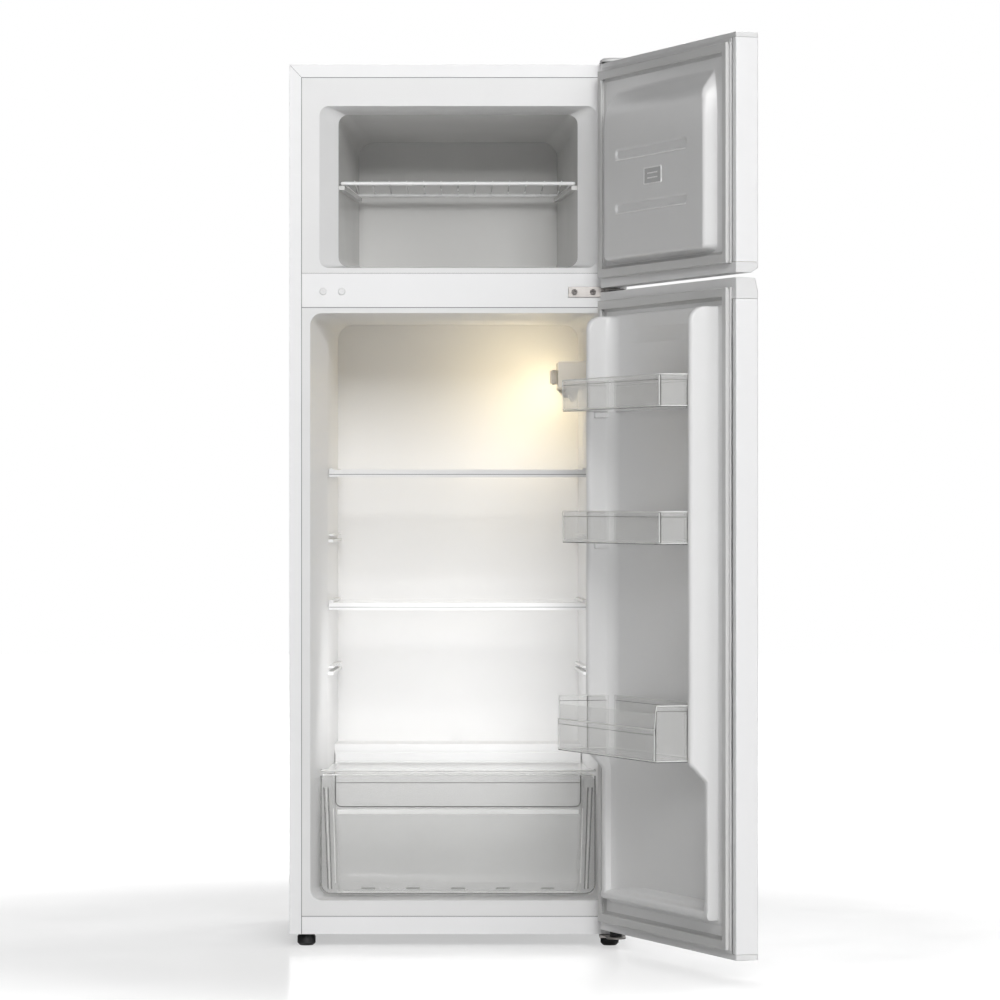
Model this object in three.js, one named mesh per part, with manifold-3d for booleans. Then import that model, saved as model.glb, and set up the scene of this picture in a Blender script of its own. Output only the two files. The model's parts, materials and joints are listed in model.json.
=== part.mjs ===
// A small top-freezer refrigerator with both doors standing open.
// Millimetres. +Z up, the front faces -Y, +X is to the right of someone facing it.
// The origin is on the floor, under the middle of the cabinet.
import * as THREE from "three";
import { mergeVertices } from "three/addons/utils/BufferGeometryUtils.js";
import Module from "manifold-3d";

const wasm = await Module();
wasm.setup();

// ---------------------------------------------------------------- driving dimensions

const GAP = 0.3; // kept between pieces that touch

// cabinet
const WIDTH = 545;
const DEPTH = 505;
const BOTTOM = 20.5;
const TOP = 1425.5;
const SHEET = 1;
const LINER = 2;
const FLANGE = 19.5; // steel frame seen from the front
const BASE_BEAM = { high: 49.3, depth: 20 };
const CROSSBAR = { low: 1033.3, high: 1088.3, depth: 14 };
const CHANNEL = 1.2; // thickness of both channels
const BACK_FOAM_GAP = 8; // room for the condenser coil behind the foam

// compartments, as distances behind the cabinet's front face
const FRIDGE = { depth: 420, funnel: 100, low: 75, high: 1024, front: 239, middle: 214, back: 205 };
const FREEZER = { depth: 385, funnel: 30, low: 1097, high: 1359, front: 225, middle: 194, back: 168 };
const HUMP = { depth: 320, top: 311 };
const BAY = { depth: 348, top: 272 };
const DRAIN = { fromBack: 12, radius: 7.5, bore: 5.5, hole: 8 };
const EVAPORATOR = { half: 140, low: 1130, high: 1300, thick: 2 };
const COIL = { inset: 4.5, radius: 2.4, half: 225, low: 420, pitch: 100, runs: 9 };

// doors
const DOOR_GAP = 12; // between the cabinet's face and a door's inner face
const DOOR_THICKNESS = 37;
const OPEN_ANGLE = THREE.MathUtils.degToRad(110.2);
const PIN_INSET = 18.5;
const PIN_BACK = 20;
const PIN_RADIUS = 4;
const PIN_BORE = 4.4;
const UPPER_DOOR = { low: 1063.5, high: 1425.2, bottomCap: 16, topCap: 8 };
const LOWER_DOOR = { low: 30.2, high: 1056.5, bottomCap: 9, topCap: 32 };
const PAN_RETURN = 13;
const GASKET = { inset: 14.5, width: 19, height: DOOR_GAP - 1.2 };
const RIB = {
  outer: 214, width: 14, draft: 2, margin: 10, // margin of the raised field outside it
  low: 86, high: 1013, height: 48, shoulder: 20, // shoulder: the round at its top end
  lowHeight: 20, step: 296, slope: 25, // its foot is lower, up to a slope above the step
};
const LINER_RISE = 4;
const FIELD = { low: 80, high: 1017 }; // the raised field of the fridge door's liner
const POCKET = { half: 197, low: 100, high: 1000, depth: 6, slope: 34 }; // sunk between its ribs
const PLATEAU = { base: 205, crest: 199, rise: 21, low: 1102, high: 1366, crestLow: 1106, crestHigh: 1349 };
const BAND = { left: -138, right: 153, height: 18, depth: 1.2, centres: [1183.5, 1268.5] };
const EMBLEM = { x: 9, z: 1223, width: 78, height: 36, line: 2, rise: 0.8 };

// shelves, drawer and bins
const GLASS = 4;
const SHELF = { depth: 105, front: 212.5, back: 203.5, trimHeight: 11, trimDepth: 14 };
const UPPER_SHELF_TOP = 770.5;
const SHELF_PITCH = 108.8;
const SHELF_POSITIONS = 4;
const LEDGE = 8; // how far a ledge stands out
const LEDGE_THICK = 5;
const UPPER_LEDGE = { clear: 0.8, thick: 3.5 }; // the ledge that holds a shelf down
const LEDGE_START = { lower: 122, upper: 150, cover: 118, wire: 40 };
const LEDGE_END = { fridge: 390, cover: 302, wire: 342 };
const COVER_TOP = 284;
const DRAWER = { depth: 40, back: 300, low: 82, high: 277, front: 223.5, topHalf: 205.5, bottomHalf: 201 };
const DRAWER_WALL = 2.4;
const DRAWER_BEND = 20; // the round between its floor and its side walls
const GRIP = { half: 199, low: 224, corner: 10, rise: 1.6 }; // the raised grip panel across its front
const WIRE_SHELF = { height: 1236, front: 36, back: 332, bar: 3, wire: 1.5, pitch: 28, wires: 13 };
const BIN = { behindRibs: 198, beyondRibs: 203.5, reach: 95, deepReach: 103, wall: 2.2, corner: 9, height: 51 };
const BINS = [
  { name: "door_bin_upper", low: 862, back: 0 },
  { name: "door_bin_middle", low: 654, back: 0 },
  { name: "door_bin_bottle", low: 325, back: 36 },
];
const BIN_BOSS = { length: 30, height: 9, rise: 5 };

// feet
const FOOT = { x: 246, radius: 14.8, depth: 36, stem: 5, top: 36 };

// derived places
const FRONT = -DEPTH / 2;
const BACK = DEPTH / 2;
const SIDE = WIDTH / 2;
const DOOR_IN = FRONT - DOOR_GAP;
const DOOR_OUT = DOOR_IN - DOOR_THICKNESS;
const PIN = { x: SIDE - PIN_INSET, y: DOOR_IN - PIN_BACK };
const behind = (distance) => FRONT + distance;

// ---------------------------------------------------------------- materials

const COLOURS = {
  white_steel: [0xf1f0ee, 0.35, 0.1],
  galvanised: [0xb9b6b0, 0.45, 0.8],
  white_plastic: [0xf0efec, 0.4, 0],
  grey_plastic: [0xdad9d6, 0.5, 0],
  clear_plastic: [0xd8dcdc, 0.15, 0],
  clear_glass: [0xdfe8e6, 0.08, 0],
  foam: [0xe8d9a8, 0.95, 0],
  gasket_rubber: [0xe9e8e6, 0.7, 0],
  black_plastic: [0x1b1b1d, 0.6, 0],
  black_steel: [0x202022, 0.5, 0.4],
  zinc: [0xbdb4a8, 0.4, 0.9],
  white_wire: [0xf4f4f2, 0.35, 0.1],
  aluminium: [0xc9ccce, 0.4, 0.9],
  copper: [0xb9734a, 0.35, 0.9],
  warm_lens: [0xfff2c4, 0.3, 0],
};

function materialOf(key) {
  const [color, roughness, metalness] = COLOURS[key];
  return new THREE.MeshStandardMaterial({ color, roughness, metalness });
}

// ---------------------------------------------------------------- shape helpers

function signedVolume(geometry) {
  const position = geometry.getAttribute("position");
  const index = geometry.index.array;
  const [a, b, c] = [new THREE.Vector3(), new THREE.Vector3(), new THREE.Vector3()];
  let sum = 0;
  for (let i = 0; i < index.length; i += 3) {
    a.fromBufferAttribute(position, index[i]);
    b.fromBufferAttribute(position, index[i + 1]);
    c.fromBufferAttribute(position, index[i + 2]);
    sum += a.dot(b.cross(c));
  }
  return sum;
}

// A three.js geometry as a manifold solid, with its faces turned to point out.
function solid(geometry) {
  const bare = new THREE.BufferGeometry();
  bare.setAttribute("position", geometry.getAttribute("position"));
  if (geometry.index) bare.setIndex(geometry.index);
  const merged = mergeVertices(bare, 1e-4);
  const triVerts = new Uint32Array(merged.index.array);
  if (signedVolume(merged) < 0) triVerts.reverse();
  const vertProperties = merged.getAttribute("position").array;
  return new wasm.Manifold(new wasm.Mesh({ numProp: 3, vertProperties, triVerts }));
}

function geometryOf(shape) {
  const { vertProperties, triVerts } = shape.getMesh();
  const geometry = new THREE.BufferGeometry();
  geometry.setAttribute("position", new THREE.BufferAttribute(vertProperties, 3));
  geometry.setIndex(new THREE.BufferAttribute(triVerts, 1));
  geometry.computeVertexNormals();
  return geometry;
}

const join = (first, ...others) => others.reduce((whole, next) => whole.add(next), first);
const cut = (first, ...others) => others.reduce((whole, next) => whole.subtract(next), first);

function box(x0, x1, y0, y1, z0, z1) {
  const geometry = new THREE.BoxGeometry(x1 - x0, y1 - y0, z1 - z0);
  return solid(geometry.translate((x0 + x1) / 2, (y0 + y1) / 2, (z0 + z1) / 2));
}

// Prisms of an outline: across X from (y, z) points, across Y from (z, x), across Z from (x, y).
function prism(axis, points, from, to) {
  const shape = new THREE.Shape(points.map(([a, b]) => new THREE.Vector2(a, b)));
  const geometry = new THREE.ExtrudeGeometry(shape, { depth: to - from, bevelEnabled: false });
  geometry.translate(0, 0, from);
  const unit = [new THREE.Vector3(1, 0, 0), new THREE.Vector3(0, 1, 0), new THREE.Vector3(0, 0, 1)];
  const turn = { x: [1, 2, 0], y: [2, 0, 1], z: [0, 1, 2] }[axis];
  const basis = new THREE.Matrix4().makeBasis(...turn.map((i) => unit[i]));
  return solid(geometry.applyMatrix4(basis));
}

function arc(cx, cy, radius, fromDegrees, toDegrees, steps) {
  return Array.from({ length: steps + 1 }, (_, i) => {
    const angle = THREE.MathUtils.degToRad(fromDegrees + ((toDegrees - fromDegrees) * i) / steps);
    return [cx + radius * Math.cos(angle), cy + radius * Math.sin(angle)];
  });
}

// A rectangle with round corners in its own two coordinates a and b.
function roundedRect(a0, a1, b0, b1, radius, steps = 4) {
  return [
    ...arc(a1 - radius, b0 + radius, radius, -90, 0, steps),
    ...arc(a1 - radius, b1 - radius, radius, 0, 90, steps),
    ...arc(a0 + radius, b1 - radius, radius, 90, 180, steps),
    ...arc(a0 + radius, b0 + radius, radius, 180, 270, steps),
  ];
}

// A closed solid through rings with the same number of 3-D points, capped flat at both ends.
function loft(rings) {
  const count = rings[0].length;
  const positions = rings.flat(2);
  const index = [];
  for (let r = 0; r + 1 < rings.length; r += 1) {
    for (let i = 0; i < count; i += 1) {
      const a = r * count + i;
      const b = r * count + ((i + 1) % count);
      index.push(a, b, b + count, a, b + count, a + count);
    }
  }
  const last = (rings.length - 1) * count;
  for (let i = 1; i + 1 < count; i += 1) {
    index.push(0, i + 1, i);
    index.push(last, last + i, last + i + 1);
  }
  const geometry = new THREE.BufferGeometry();
  geometry.setAttribute("position", new THREE.Float32BufferAttribute(positions, 3));
  geometry.setIndex(index);
  return solid(geometry);
}

// An upright round bar.
function bar(x, y, z0, z1, radius, sides = 12) {
  return prism("z", arc(x, y, radius, 0, 360 - 360 / sides, sides - 1), z0, z1);
}

// A round bar that follows a line of points.
function rod(points, radius, sides = 6) {
  const outline = arc(0, 0, radius, 0, 360 - 360 / sides, sides - 1);
  const path = new THREE.CurvePath();
  for (let i = 0; i + 1 < points.length; i += 1) {
    path.add(new THREE.LineCurve3(new THREE.Vector3(...points[i]), new THREE.Vector3(...points[i + 1])));
  }
  const shape = new THREE.Shape(outline.map(([a, b]) => new THREE.Vector2(a, b)));
  return solid(new THREE.ExtrudeGeometry(shape, { steps: points.length - 1, extrudePath: path }));
}

// A solid of revolution about a line along Z, X or Y through the given point.
function turned(profile, axis, x, y, z, segments = 16) {
  const points = profile.map(([radius, along]) => new THREE.Vector2(radius, along));
  const geometry = new THREE.LatheGeometry(points, segments);
  if (axis === "z") geometry.rotateX(Math.PI / 2);
  if (axis === "x") geometry.rotateZ(-Math.PI / 2);
  return solid(geometry.translate(x, y, z));
}

// ---------------------------------------------------------------- scene graph

const group = new THREE.Group();

function put(parent, name, shape, material) {
  const mesh = new THREE.Mesh(geometryOf(shape), materialOf(material));
  mesh.name = name;
  parent.add(mesh);
}

// ---------------------------------------------------------------- cabinet

// One cross-section of a compartment at a distance behind the front face.
function section(half, low, high, radius, distance) {
  return roundedRect(-half, half, low, high, radius, 8).map(([x, z]) => [x, behind(distance), z]);
}

// The space inside the fridge compartment, grown outwards by a wall's thickness.
function fridgeSpace(grow) {
  const { depth, funnel, low, high, front, middle, back } = FRIDGE;
  const floorRise = 3;
  const tunnel = loft([
    section(front + grow, low - grow, high + grow, 19, -1),
    section(middle + grow, low + floorRise - grow, high - 2 + grow, 20, funnel),
    section(back + grow, low + floorRise - grow, high - 3 + grow, 26, depth + grow),
  ]);
  const hump = box(-SIDE, SIDE, behind(HUMP.depth + grow), BACK, 0, HUMP.top - grow);
  return cut(tunnel, hump);
}

// The space inside the freezer compartment, grown in the same way.
function freezerSpace(grow) {
  const { depth, funnel, low, high, front, middle, back } = FREEZER;
  const floorRise = 3;
  return loft([
    section(front + grow, low - grow, high + grow, 15, -1),
    section(middle + grow, low + floorRise - grow, high - 12 + grow, 16, funnel),
    section(back + grow, low + floorRise - grow, high - 30 + grow, 26, depth + grow),
  ]);
}

// Half of the fridge compartment's width at a distance behind the front face.
function fridgeHalf(distance) {
  const { funnel, depth, front, middle, back } = FRIDGE;
  if (distance < funnel) return front + ((middle - front) * distance) / funnel;
  return middle + ((back - middle) * (distance - funnel)) / (depth - funnel);
}

function freezerHalf(distance) {
  const { funnel, depth, middle, back } = FREEZER;
  return middle + ((back - middle) * (distance - funnel)) / (depth - funnel);
}

// A pair of ledges moulded into the side walls, rooted in the wall and standing out from it.
function ledges(half, from, to, low, high, standOut) {
  const one = (side) =>
    prism(
      "z",
      [
        [side * (half(from) - standOut), behind(from)],
        [side * (half(to) - standOut), behind(to)],
        [side * (half(to) + 1), behind(to)],
        [side * (half(from) + 1), behind(from)],
      ],
      low,
      high,
    );
  return join(one(-1), one(1));
}

const shelfTop = (position) => UPPER_SHELF_TOP - position * SHELF_PITCH;

function fridgeLiner() {
  const half = SIDE - FLANGE - GAP;
  const face = box(-half, half, behind(0), behind(LINER), BASE_BEAM.high + GAP, CROSSBAR.low - GAP);
  const shell = cut(fridgeSpace(LINER), box(-SIDE, SIDE, behind(-5), behind(0), 0, TOP));
  let liner = cut(join(face, shell), fridgeSpace(0));
  for (let position = 0; position < SHELF_POSITIONS; position += 1) {
    const top = shelfTop(position);
    const under = top - GLASS - GAP;
    const over = top + UPPER_LEDGE.clear;
    const to = LEDGE_END.fridge;
    const lower = ledges(fridgeHalf, LEDGE_START.lower, to, under - LEDGE_THICK, under, LEDGE);
    const upper = ledges(fridgeHalf, LEDGE_START.upper, to, over, over + UPPER_LEDGE.thick, LEDGE - 1);
    liner = join(liner, lower, upper);
  }
  const coverLow = COVER_TOP - GLASS - GAP;
  const [from, to] = [LEDGE_START.cover, LEDGE_END.cover];
  liner = join(liner, ledges(fridgeHalf, from, to, coverLow - LEDGE_THICK, coverLow, LEDGE - 1));
  return cut(liner, bar(0, behind(FRIDGE.depth - DRAIN.fromBack), HUMP.top - 20, HUMP.top + 20, DRAIN.hole));
}

function freezerLiner() {
  const half = SIDE - FLANGE - GAP;
  const face = box(-half, half, behind(0), behind(LINER), CROSSBAR.high + GAP, TOP - FLANGE - 1 - GAP);
  const shell = cut(freezerSpace(LINER), box(-SIDE, SIDE, behind(-5), behind(0), 0, TOP));
  const liner = cut(join(face, shell), freezerSpace(0));
  const top = WIRE_SHELF.height - WIRE_SHELF.bar - GAP;
  return join(liner, ledges(freezerHalf, LEDGE_START.wire, LEDGE_END.wire, top - 7, top, LEDGE + 1));
}

// The wrapped steel skin: top, two sides and the flange that frames the front.
function cabinetShell() {
  const outer = box(-SIDE, SIDE, FRONT, BACK, BOTTOM, TOP);
  const inner = box(-SIDE + SHEET, SIDE - SHEET, FRONT + SHEET, BACK + 1, BOTTOM - 1, TOP - SHEET);
  const opening = box(-SIDE + FLANGE, SIDE - FLANGE, FRONT - 1, FRONT + 2, BOTTOM - 1, TOP - FLANGE - 1);
  return cut(outer, inner, opening);
}

// A steel channel across the front between the two flanges, open at the back.
function frontChannel(low, high, depth) {
  const half = SIDE - FLANGE - GAP;
  const outer = box(-half, half, behind(0), behind(depth), low, high);
  const inner = box(-half - 1, half + 1, behind(CHANNEL), behind(depth + 1), low + CHANNEL, high - CHANNEL);
  return cut(outer, inner);
}

// The beam between the two compartments.
function crossbar() {
  return cut(frontChannel(CROSSBAR.low, CROSSBAR.high, CROSSBAR.depth), ...SCREW_X.map(screwHole));
}

const baseBeam = () => frontChannel(BOTTOM, BASE_BEAM.high, BASE_BEAM.depth);

// The poured insulation: a block with the two compartments, the compressor bay and pockets cut out of it.
function cabinetFoam() {
  const clear = SHEET + GAP;
  const skin = LINER + GAP;
  const block = box(
    -SIDE + clear, SIDE - clear, behind(skin), BACK - BACK_FOAM_GAP, BOTTOM + 2 * clear, TOP - clear,
  );
  const channelPocket = (depth, low, high) =>
    box(-SIDE, SIDE, behind(0), behind(depth + GAP), low - GAP, high + GAP);
  const crossbarPocket = channelPocket(CROSSBAR.depth, CROSSBAR.low, CROSSBAR.high);
  const beamPocket = channelPocket(BASE_BEAM.depth, 0, BASE_BEAM.high);
  const bay = box(-SIDE, SIDE, behind(BAY.depth), BACK, 0, BAY.top);
  const plate = evaporatorBox(GAP, FREEZER.depth);
  const drain = bar(0, behind(FRIDGE.depth - DRAIN.fromBack), BAY.top - 5, HUMP.top + 5, DRAIN.hole + GAP);
  const stems = [-1, 1].map((side) => bar(side * FOOT.x, behind(FOOT.depth), 0, FOOT.top + 2, FOOT.stem + 1));
  const pockets = [crossbarPocket, beamPocket, bay, plate, drain, ...stems];
  return cut(block, fridgeSpace(skin), freezerSpace(skin), ...pockets);
}

// The evaporator plate against the back of the freezer's liner, or the pocket in the foam that holds it.
function evaporatorBox(grow, from = FREEZER.depth + LINER + 2 * GAP) {
  const { half, low, high, thick } = EVAPORATOR;
  const to = FREEZER.depth + LINER + 2 * GAP + thick + grow;
  return box(-half - grow, half + grow, behind(from), behind(to), low - grow, high + grow);
}

function backPanel() {
  return box(-SIDE + SHEET + GAP, SIDE - SHEET - GAP, BACK - SHEET, BACK, BAY.top, TOP - SHEET - GAP);
}

// The bottom sheet under the insulation, ending at the compressor bay, with holes for the feet's stems.
function basePan() {
  const half = SIDE - SHEET - GAP;
  const sheet = box(-half, half, behind(BASE_BEAM.depth + GAP), behind(BAY.depth), BOTTOM, BOTTOM + SHEET);
  const holes = [-1, 1].map((side) => bar(side * FOOT.x, behind(FOOT.depth), 0, BOTTOM + 5, FOOT.stem + 1));
  return cut(sheet, ...holes);
}

function condenserCoil() {
  const y = BACK - COIL.inset;
  const points = [];
  for (let run = 0; run < COIL.runs; run += 1) {
    const z = COIL.low + run * COIL.pitch;
    const side = run % 2 ? 1 : -1;
    points.push([side * COIL.half, y, z], [-side * COIL.half, y, z]);
  }
  return rod(points, COIL.radius);
}

// ---------------------------------------------------------------- compressor bay

const COMPRESSOR = { x: 60, y: behind(BAY.depth + 82), low: 34, radius: 66, height: 160 };

function compressorPlate() {
  const from = behind(BAY.depth + GAP);
  const sheet = box(-SIDE + SHEET + GAP, SIDE - SHEET - GAP, from, BACK, BOTTOM, BOTTOM + 2);
  const lip = box(-SIDE + SHEET + GAP, SIDE - SHEET - GAP, BACK - 2, BACK, BOTTOM, BOTTOM + 22);
  return join(sheet, lip);
}

function compressor() {
  const { x, y, low, radius, height } = COMPRESSOR;
  const shell = turned(
    [
      [0, 0], [radius * 0.72, 0], [radius, 26], [radius, height * 0.48], [radius + 2, height * 0.5],
      [radius + 2, height * 0.56], [radius, height * 0.58], [radius * 0.9, height * 0.86],
      [radius * 0.5, height], [0, height],
    ],
    "z", x, y, low, 24,
  );
  const bracket = box(x - 84, x + 84, y - 40, y + 40, low - 6, low + 5);
  const grommets = [-1, 1].flatMap((sx) =>
    [-1, 1].map((sy) => bar(x + sx * 74, y + sy * 30, BOTTOM + 2 + GAP, low - 3, 8, 8)));
  return join(shell, bracket, ...grommets);
}

function dripTray() {
  const { x, y, low, radius, height } = COMPRESSOR;
  const base = low + height + GAP;
  const tray = box(x - radius, x + radius, y - 54, y + 54, base, base + 26);
  return cut(tray, box(x - radius + 2, x + radius - 2, y - 52, y + 52, base + 2, base + 30));
}

function drainTube() {
  const low = BAY.top - 40;
  const y = behind(FRIDGE.depth - DRAIN.fromBack);
  return cut(bar(0, y, low, HUMP.top - LINER - GAP, DRAIN.radius), bar(0, y, low - 1, HUMP.top, DRAIN.bore));
}

function terminalBox() {
  const { x, y, low, radius } = COMPRESSOR;
  return box(x - radius - 34, x - radius - 4, y - 24, y + 24, low + 40, low + 96);
}

// The bush in the plate's lip that the mains lead would come through.
function cordGland() {
  const profile = [[0, 0], [11, 0], [11, 3], [7, 3], [7, 12], [0, 12]];
  return turned(profile, "y", -170, BACK + GAP, BOTTOM + 12, 16);
}

// ---------------------------------------------------------------- lamp, thermostat and door switch

const LAMP = { from: 140, to: 292, low: 885, high: 950, left: 165, wall: 2 };

function lampHousing() {
  const { from, to, low, high, left, wall } = LAMP;
  const right = fridgeHalf(to) - GAP;
  const body = prism(
    "z",
    [[left, behind(from)], [fridgeHalf(from) - GAP, behind(from)], [right, behind(to)], [left, behind(to)]],
    low + 22,
    high,
  );
  const skirt = prism(
    "y",
    [[low + 22, left], [low + 22, right - 12], [low + 8, right - 12], [low + 8, left + 14]],
    behind(to - 34),
    behind(to),
  );
  const hollow = box(left + wall + 10, right - 8, behind(from + 8), behind(to - 40), low, high - 4);
  return cut(join(body, skirt), hollow);
}

function lampCover() {
  const { from, to, low, left } = LAMP;
  const right = fridgeHalf(to) - 8;
  const y0 = behind(from + 9);
  const y1 = behind(to - 41);
  const outline = (inset) => [
    [low + 21.6, left + 13 + inset], [low + 21.6, right - inset - GAP * 2],
    [low + 3 + inset, right - 6 - inset], [low + inset, left + 24 + inset],
  ];
  const outer = prism("y", outline(0), y0, y1);
  const hollow = prism("y", outline(2), y0 + 2, y1 - 2);
  return cut(outer, hollow, box(left + 15, right - 2.6, y0 + 2, y1 - 2, low + 12, low + 30));
}

function lampBulb() {
  const profile = [[0, -26], [6, -26], [6, -12], [9, -4], [10, 4], [8, 12], [4, 15.5], [0, 16]];
  return turned(profile, "y", LAMP.left + 24, behind((LAMP.from + LAMP.to) / 2 - 10), LAMP.low + 32, 12);
}

function thermostatKnob() {
  const y = behind((LAMP.from + LAMP.to) / 2);
  const z = LAMP.high - 24;
  const dial = turned([[0, 0], [12.5, 0], [12.5, 5], [11, 8], [0, 8]], "x", LAMP.left - 8 - GAP, y, z, 20);
  const pointer = box(LAMP.left - 12, LAMP.left - 6, y - 2, y + 2, z - 11, z + 11);
  return join(dial, pointer);
}

const SWITCH = { x: 224, z: 970, tip: DOOR_IN + LINER_RISE + 0.6 };

function doorSwitchBody() {
  const { x, z } = SWITCH;
  const outline = [
    [x - 8, behind(14)],
    [fridgeHalf(14) - GAP, behind(14)],
    [fridgeHalf(60) - GAP, behind(60)],
    [x - 8, behind(60)],
  ];
  const bore = box(x - 3.4, x + 3.4, behind(10), behind(54), z - 5.4, z + 5.4);
  return cut(prism("z", outline, z - 12, z + 12), bore);
}

function doorSwitchPlunger() {
  const { x, z, tip } = SWITCH;
  return box(x - 3, x + 3, tip, behind(40), z - 5, z + 5);
}

// ---------------------------------------------------------------- hinges and feet

const SCREW_X = [188, 218];
const HINGE_Z = 1058;
const SCREW = { hole: 3.3, head: 5, shank: 2.8, slotHalf: 3, slotWide: 1.4 };

// A short round bar from front to back at the height of the middle hinge.
function screwRound(x, radius, from, to) {
  return prism("y", arc(HINGE_Z, x, radius, 0, 330, 11), behind(from), behind(to));
}

const screwHole = (x) => screwRound(x, SCREW.hole, -5, 5);

function hingeScrew(x) {
  const head = screwRound(x, SCREW.head, -5.2, -3.1);
  const shank = screwRound(x, SCREW.shank, -3.2, 11);
  const slot = (halfX, halfZ) =>
    box(x - halfX, x + halfX, behind(-6), behind(-4.2), HINGE_Z - halfZ, HINGE_Z + halfZ);
  const slotAcross = slot(SCREW.slotHalf, SCREW.slotWide / 2);
  const slotUp = slot(SCREW.slotWide / 2, SCREW.slotHalf);
  return cut(join(head, shank), slotAcross, slotUp);
}

function holePlug(x) {
  const profile = [[0, 0], [6, 0], [6, 1], [4.6, 2], [0, 2]];
  const facingBack = turned(profile, "y", x, 0, HINGE_Z + 1, 20);
  return facingBack.mirror([0, 1, 0]).translate([0, behind(-GAP), 0]);
}

// A flat leaf from the cabinet to the pin, rounded about the pin.
function leaf(x0, x1, back, z0, z1) {
  const r = (x1 - x0) / 2;
  const middle = (x0 + x1) / 2;
  return prism("z", [...arc(middle, PIN.y, r, 180, 360, 8), [x1, back], [x0, back]], z0, z1);
}

function middleHinge() {
  const plate = box(178, 262, behind(-2.8), behind(-GAP), 1049.5, 1066.5);
  const tongue = leaf(PIN.x - 16, PIN.x + 16, behind(-1.5), 1058.8, 1061.4);
  const pin = bar(PIN.x, PIN.y, LOWER_DOOR.high - 14, UPPER_DOOR.low + 14, PIN_RADIUS);
  return cut(join(plate, tongue, pin), ...SCREW_X.map((x) => screwHole(x)));
}

function topHinge() {
  const plate = leaf(PIN.x - 17, PIN.x + 17, behind(58), TOP + GAP, TOP + GAP + 2.5);
  return join(plate, bar(PIN.x, PIN.y, UPPER_DOOR.high - 16, TOP + 2, PIN_RADIUS));
}

// A low rounded cap over the top hinge, hollow underneath.
function topHingeCover() {
  const outline = (r, back, z) =>
    [...arc(PIN.x, PIN.y, r, 180, 360, 10), [PIN.x + r, behind(back)], [PIN.x - r, behind(back)]]
      .map(([x, y]) => [x, y, z]);
  const base = TOP + GAP;
  const outer = loft([outline(25, 72, base), outline(25, 72, base + 3.5), outline(21, 67, base + 6.2)]);
  const hollow = loft([outline(23, 70, base - 1), outline(23, 70, base + 3), outline(20, 66, base + 4.6)]);
  return cut(outer, hollow);
}

function bottomHinge() {
  const plate = box(PIN.x - 26, PIN.x + 16, behind(-20), behind(18), 16.2, 19.6);
  const tongue = leaf(PIN.x - 16, PIN.x + 16, behind(-18), 16.2, 19.6);
  return join(plate, tongue, bar(PIN.x, PIN.y, 17, LOWER_DOOR.low + 16, PIN_RADIUS));
}

function washer(z0, z1, radius) {
  return cut(bar(PIN.x, PIN.y, z0, z1, radius, 20), bar(PIN.x, PIN.y, z0 - 1, z1 + 1, PIN_BORE));
}

function frontFoot(side) {
  const r = FOOT.radius;
  const profile = [[0, 0], [r - 4, 0], [r, 4], [r, 14], [r - 3, BOTTOM - GAP], [FOOT.stem, BOTTOM - GAP],
    [FOOT.stem, FOOT.top], [0, FOOT.top]];
  return turned(profile, "z", side * FOOT.x, behind(FOOT.depth), 0, 20);
}

function rearFoot(side) {
  const r = FOOT.radius;
  const profile = [[0, 0], [r - 2, 0], [r, 2], [r, BOTTOM - GAP], [0, BOTTOM - GAP]];
  return turned(profile, "z", side * 232, BACK - 34, 0, 16);
}

// ---------------------------------------------------------------- shelves and drawer

function shelfGlass(top) {
  const outline = [
    [SHELF.front, behind(SHELF.depth + 4)], [SHELF.back, behind(FRIDGE.depth - 20)],
    [-SHELF.back, behind(FRIDGE.depth - 20)], [-SHELF.front, behind(SHELF.depth + 4)],
  ];
  return prism("z", outline, top - GLASS, top);
}

// The moulded strip along the front of a shelf, in a C that grips the glass.
function shelfTrim(top) {
  const half = SHELF.front - 0.5;
  const y0 = behind(SHELF.depth);
  const low = top - SHELF.trimHeight;
  const strip = box(-half, half, y0, y0 + SHELF.trimDepth, low, top + 1.2);
  const slot = box(-half - 1, half + 1, y0 + 4 - GAP, y0 + 30, top - GLASS - GAP, top + GAP);
  const relief = box(-half - 1, half + 1, y0 + 3, y0 + 30, low - 1, top - GLASS - 2);
  return cut(strip, slot, relief);
}

// The sheet over the crisper, whose sides follow the compartment's walls.
function coverGlass() {
  const [front, back] = [DRAWER.depth - 2, HUMP.depth - 16];
  const right = [
    [DRAWER.front, behind(front)],
    [DRAWER.front, behind(front + 12)],
    [fridgeHalf(FRIDGE.funnel) - 1.6, behind(FRIDGE.funnel)],
    [fridgeHalf(back) - 1.6, behind(back)],
  ];
  const left = right.map(([x, y]) => [-x, y]).reverse();
  return prism("z", [...right, ...left], COVER_TOP - GLASS, COVER_TOP);
}

function coverTrim() {
  const half = fridgeHalf(HUMP.depth) - 1.5;
  const y0 = behind(HUMP.depth - 16 + GAP);
  return box(-half, half, y0, y0 + 10, COVER_TOP - GLASS, COVER_TOP + 14);
}

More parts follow.
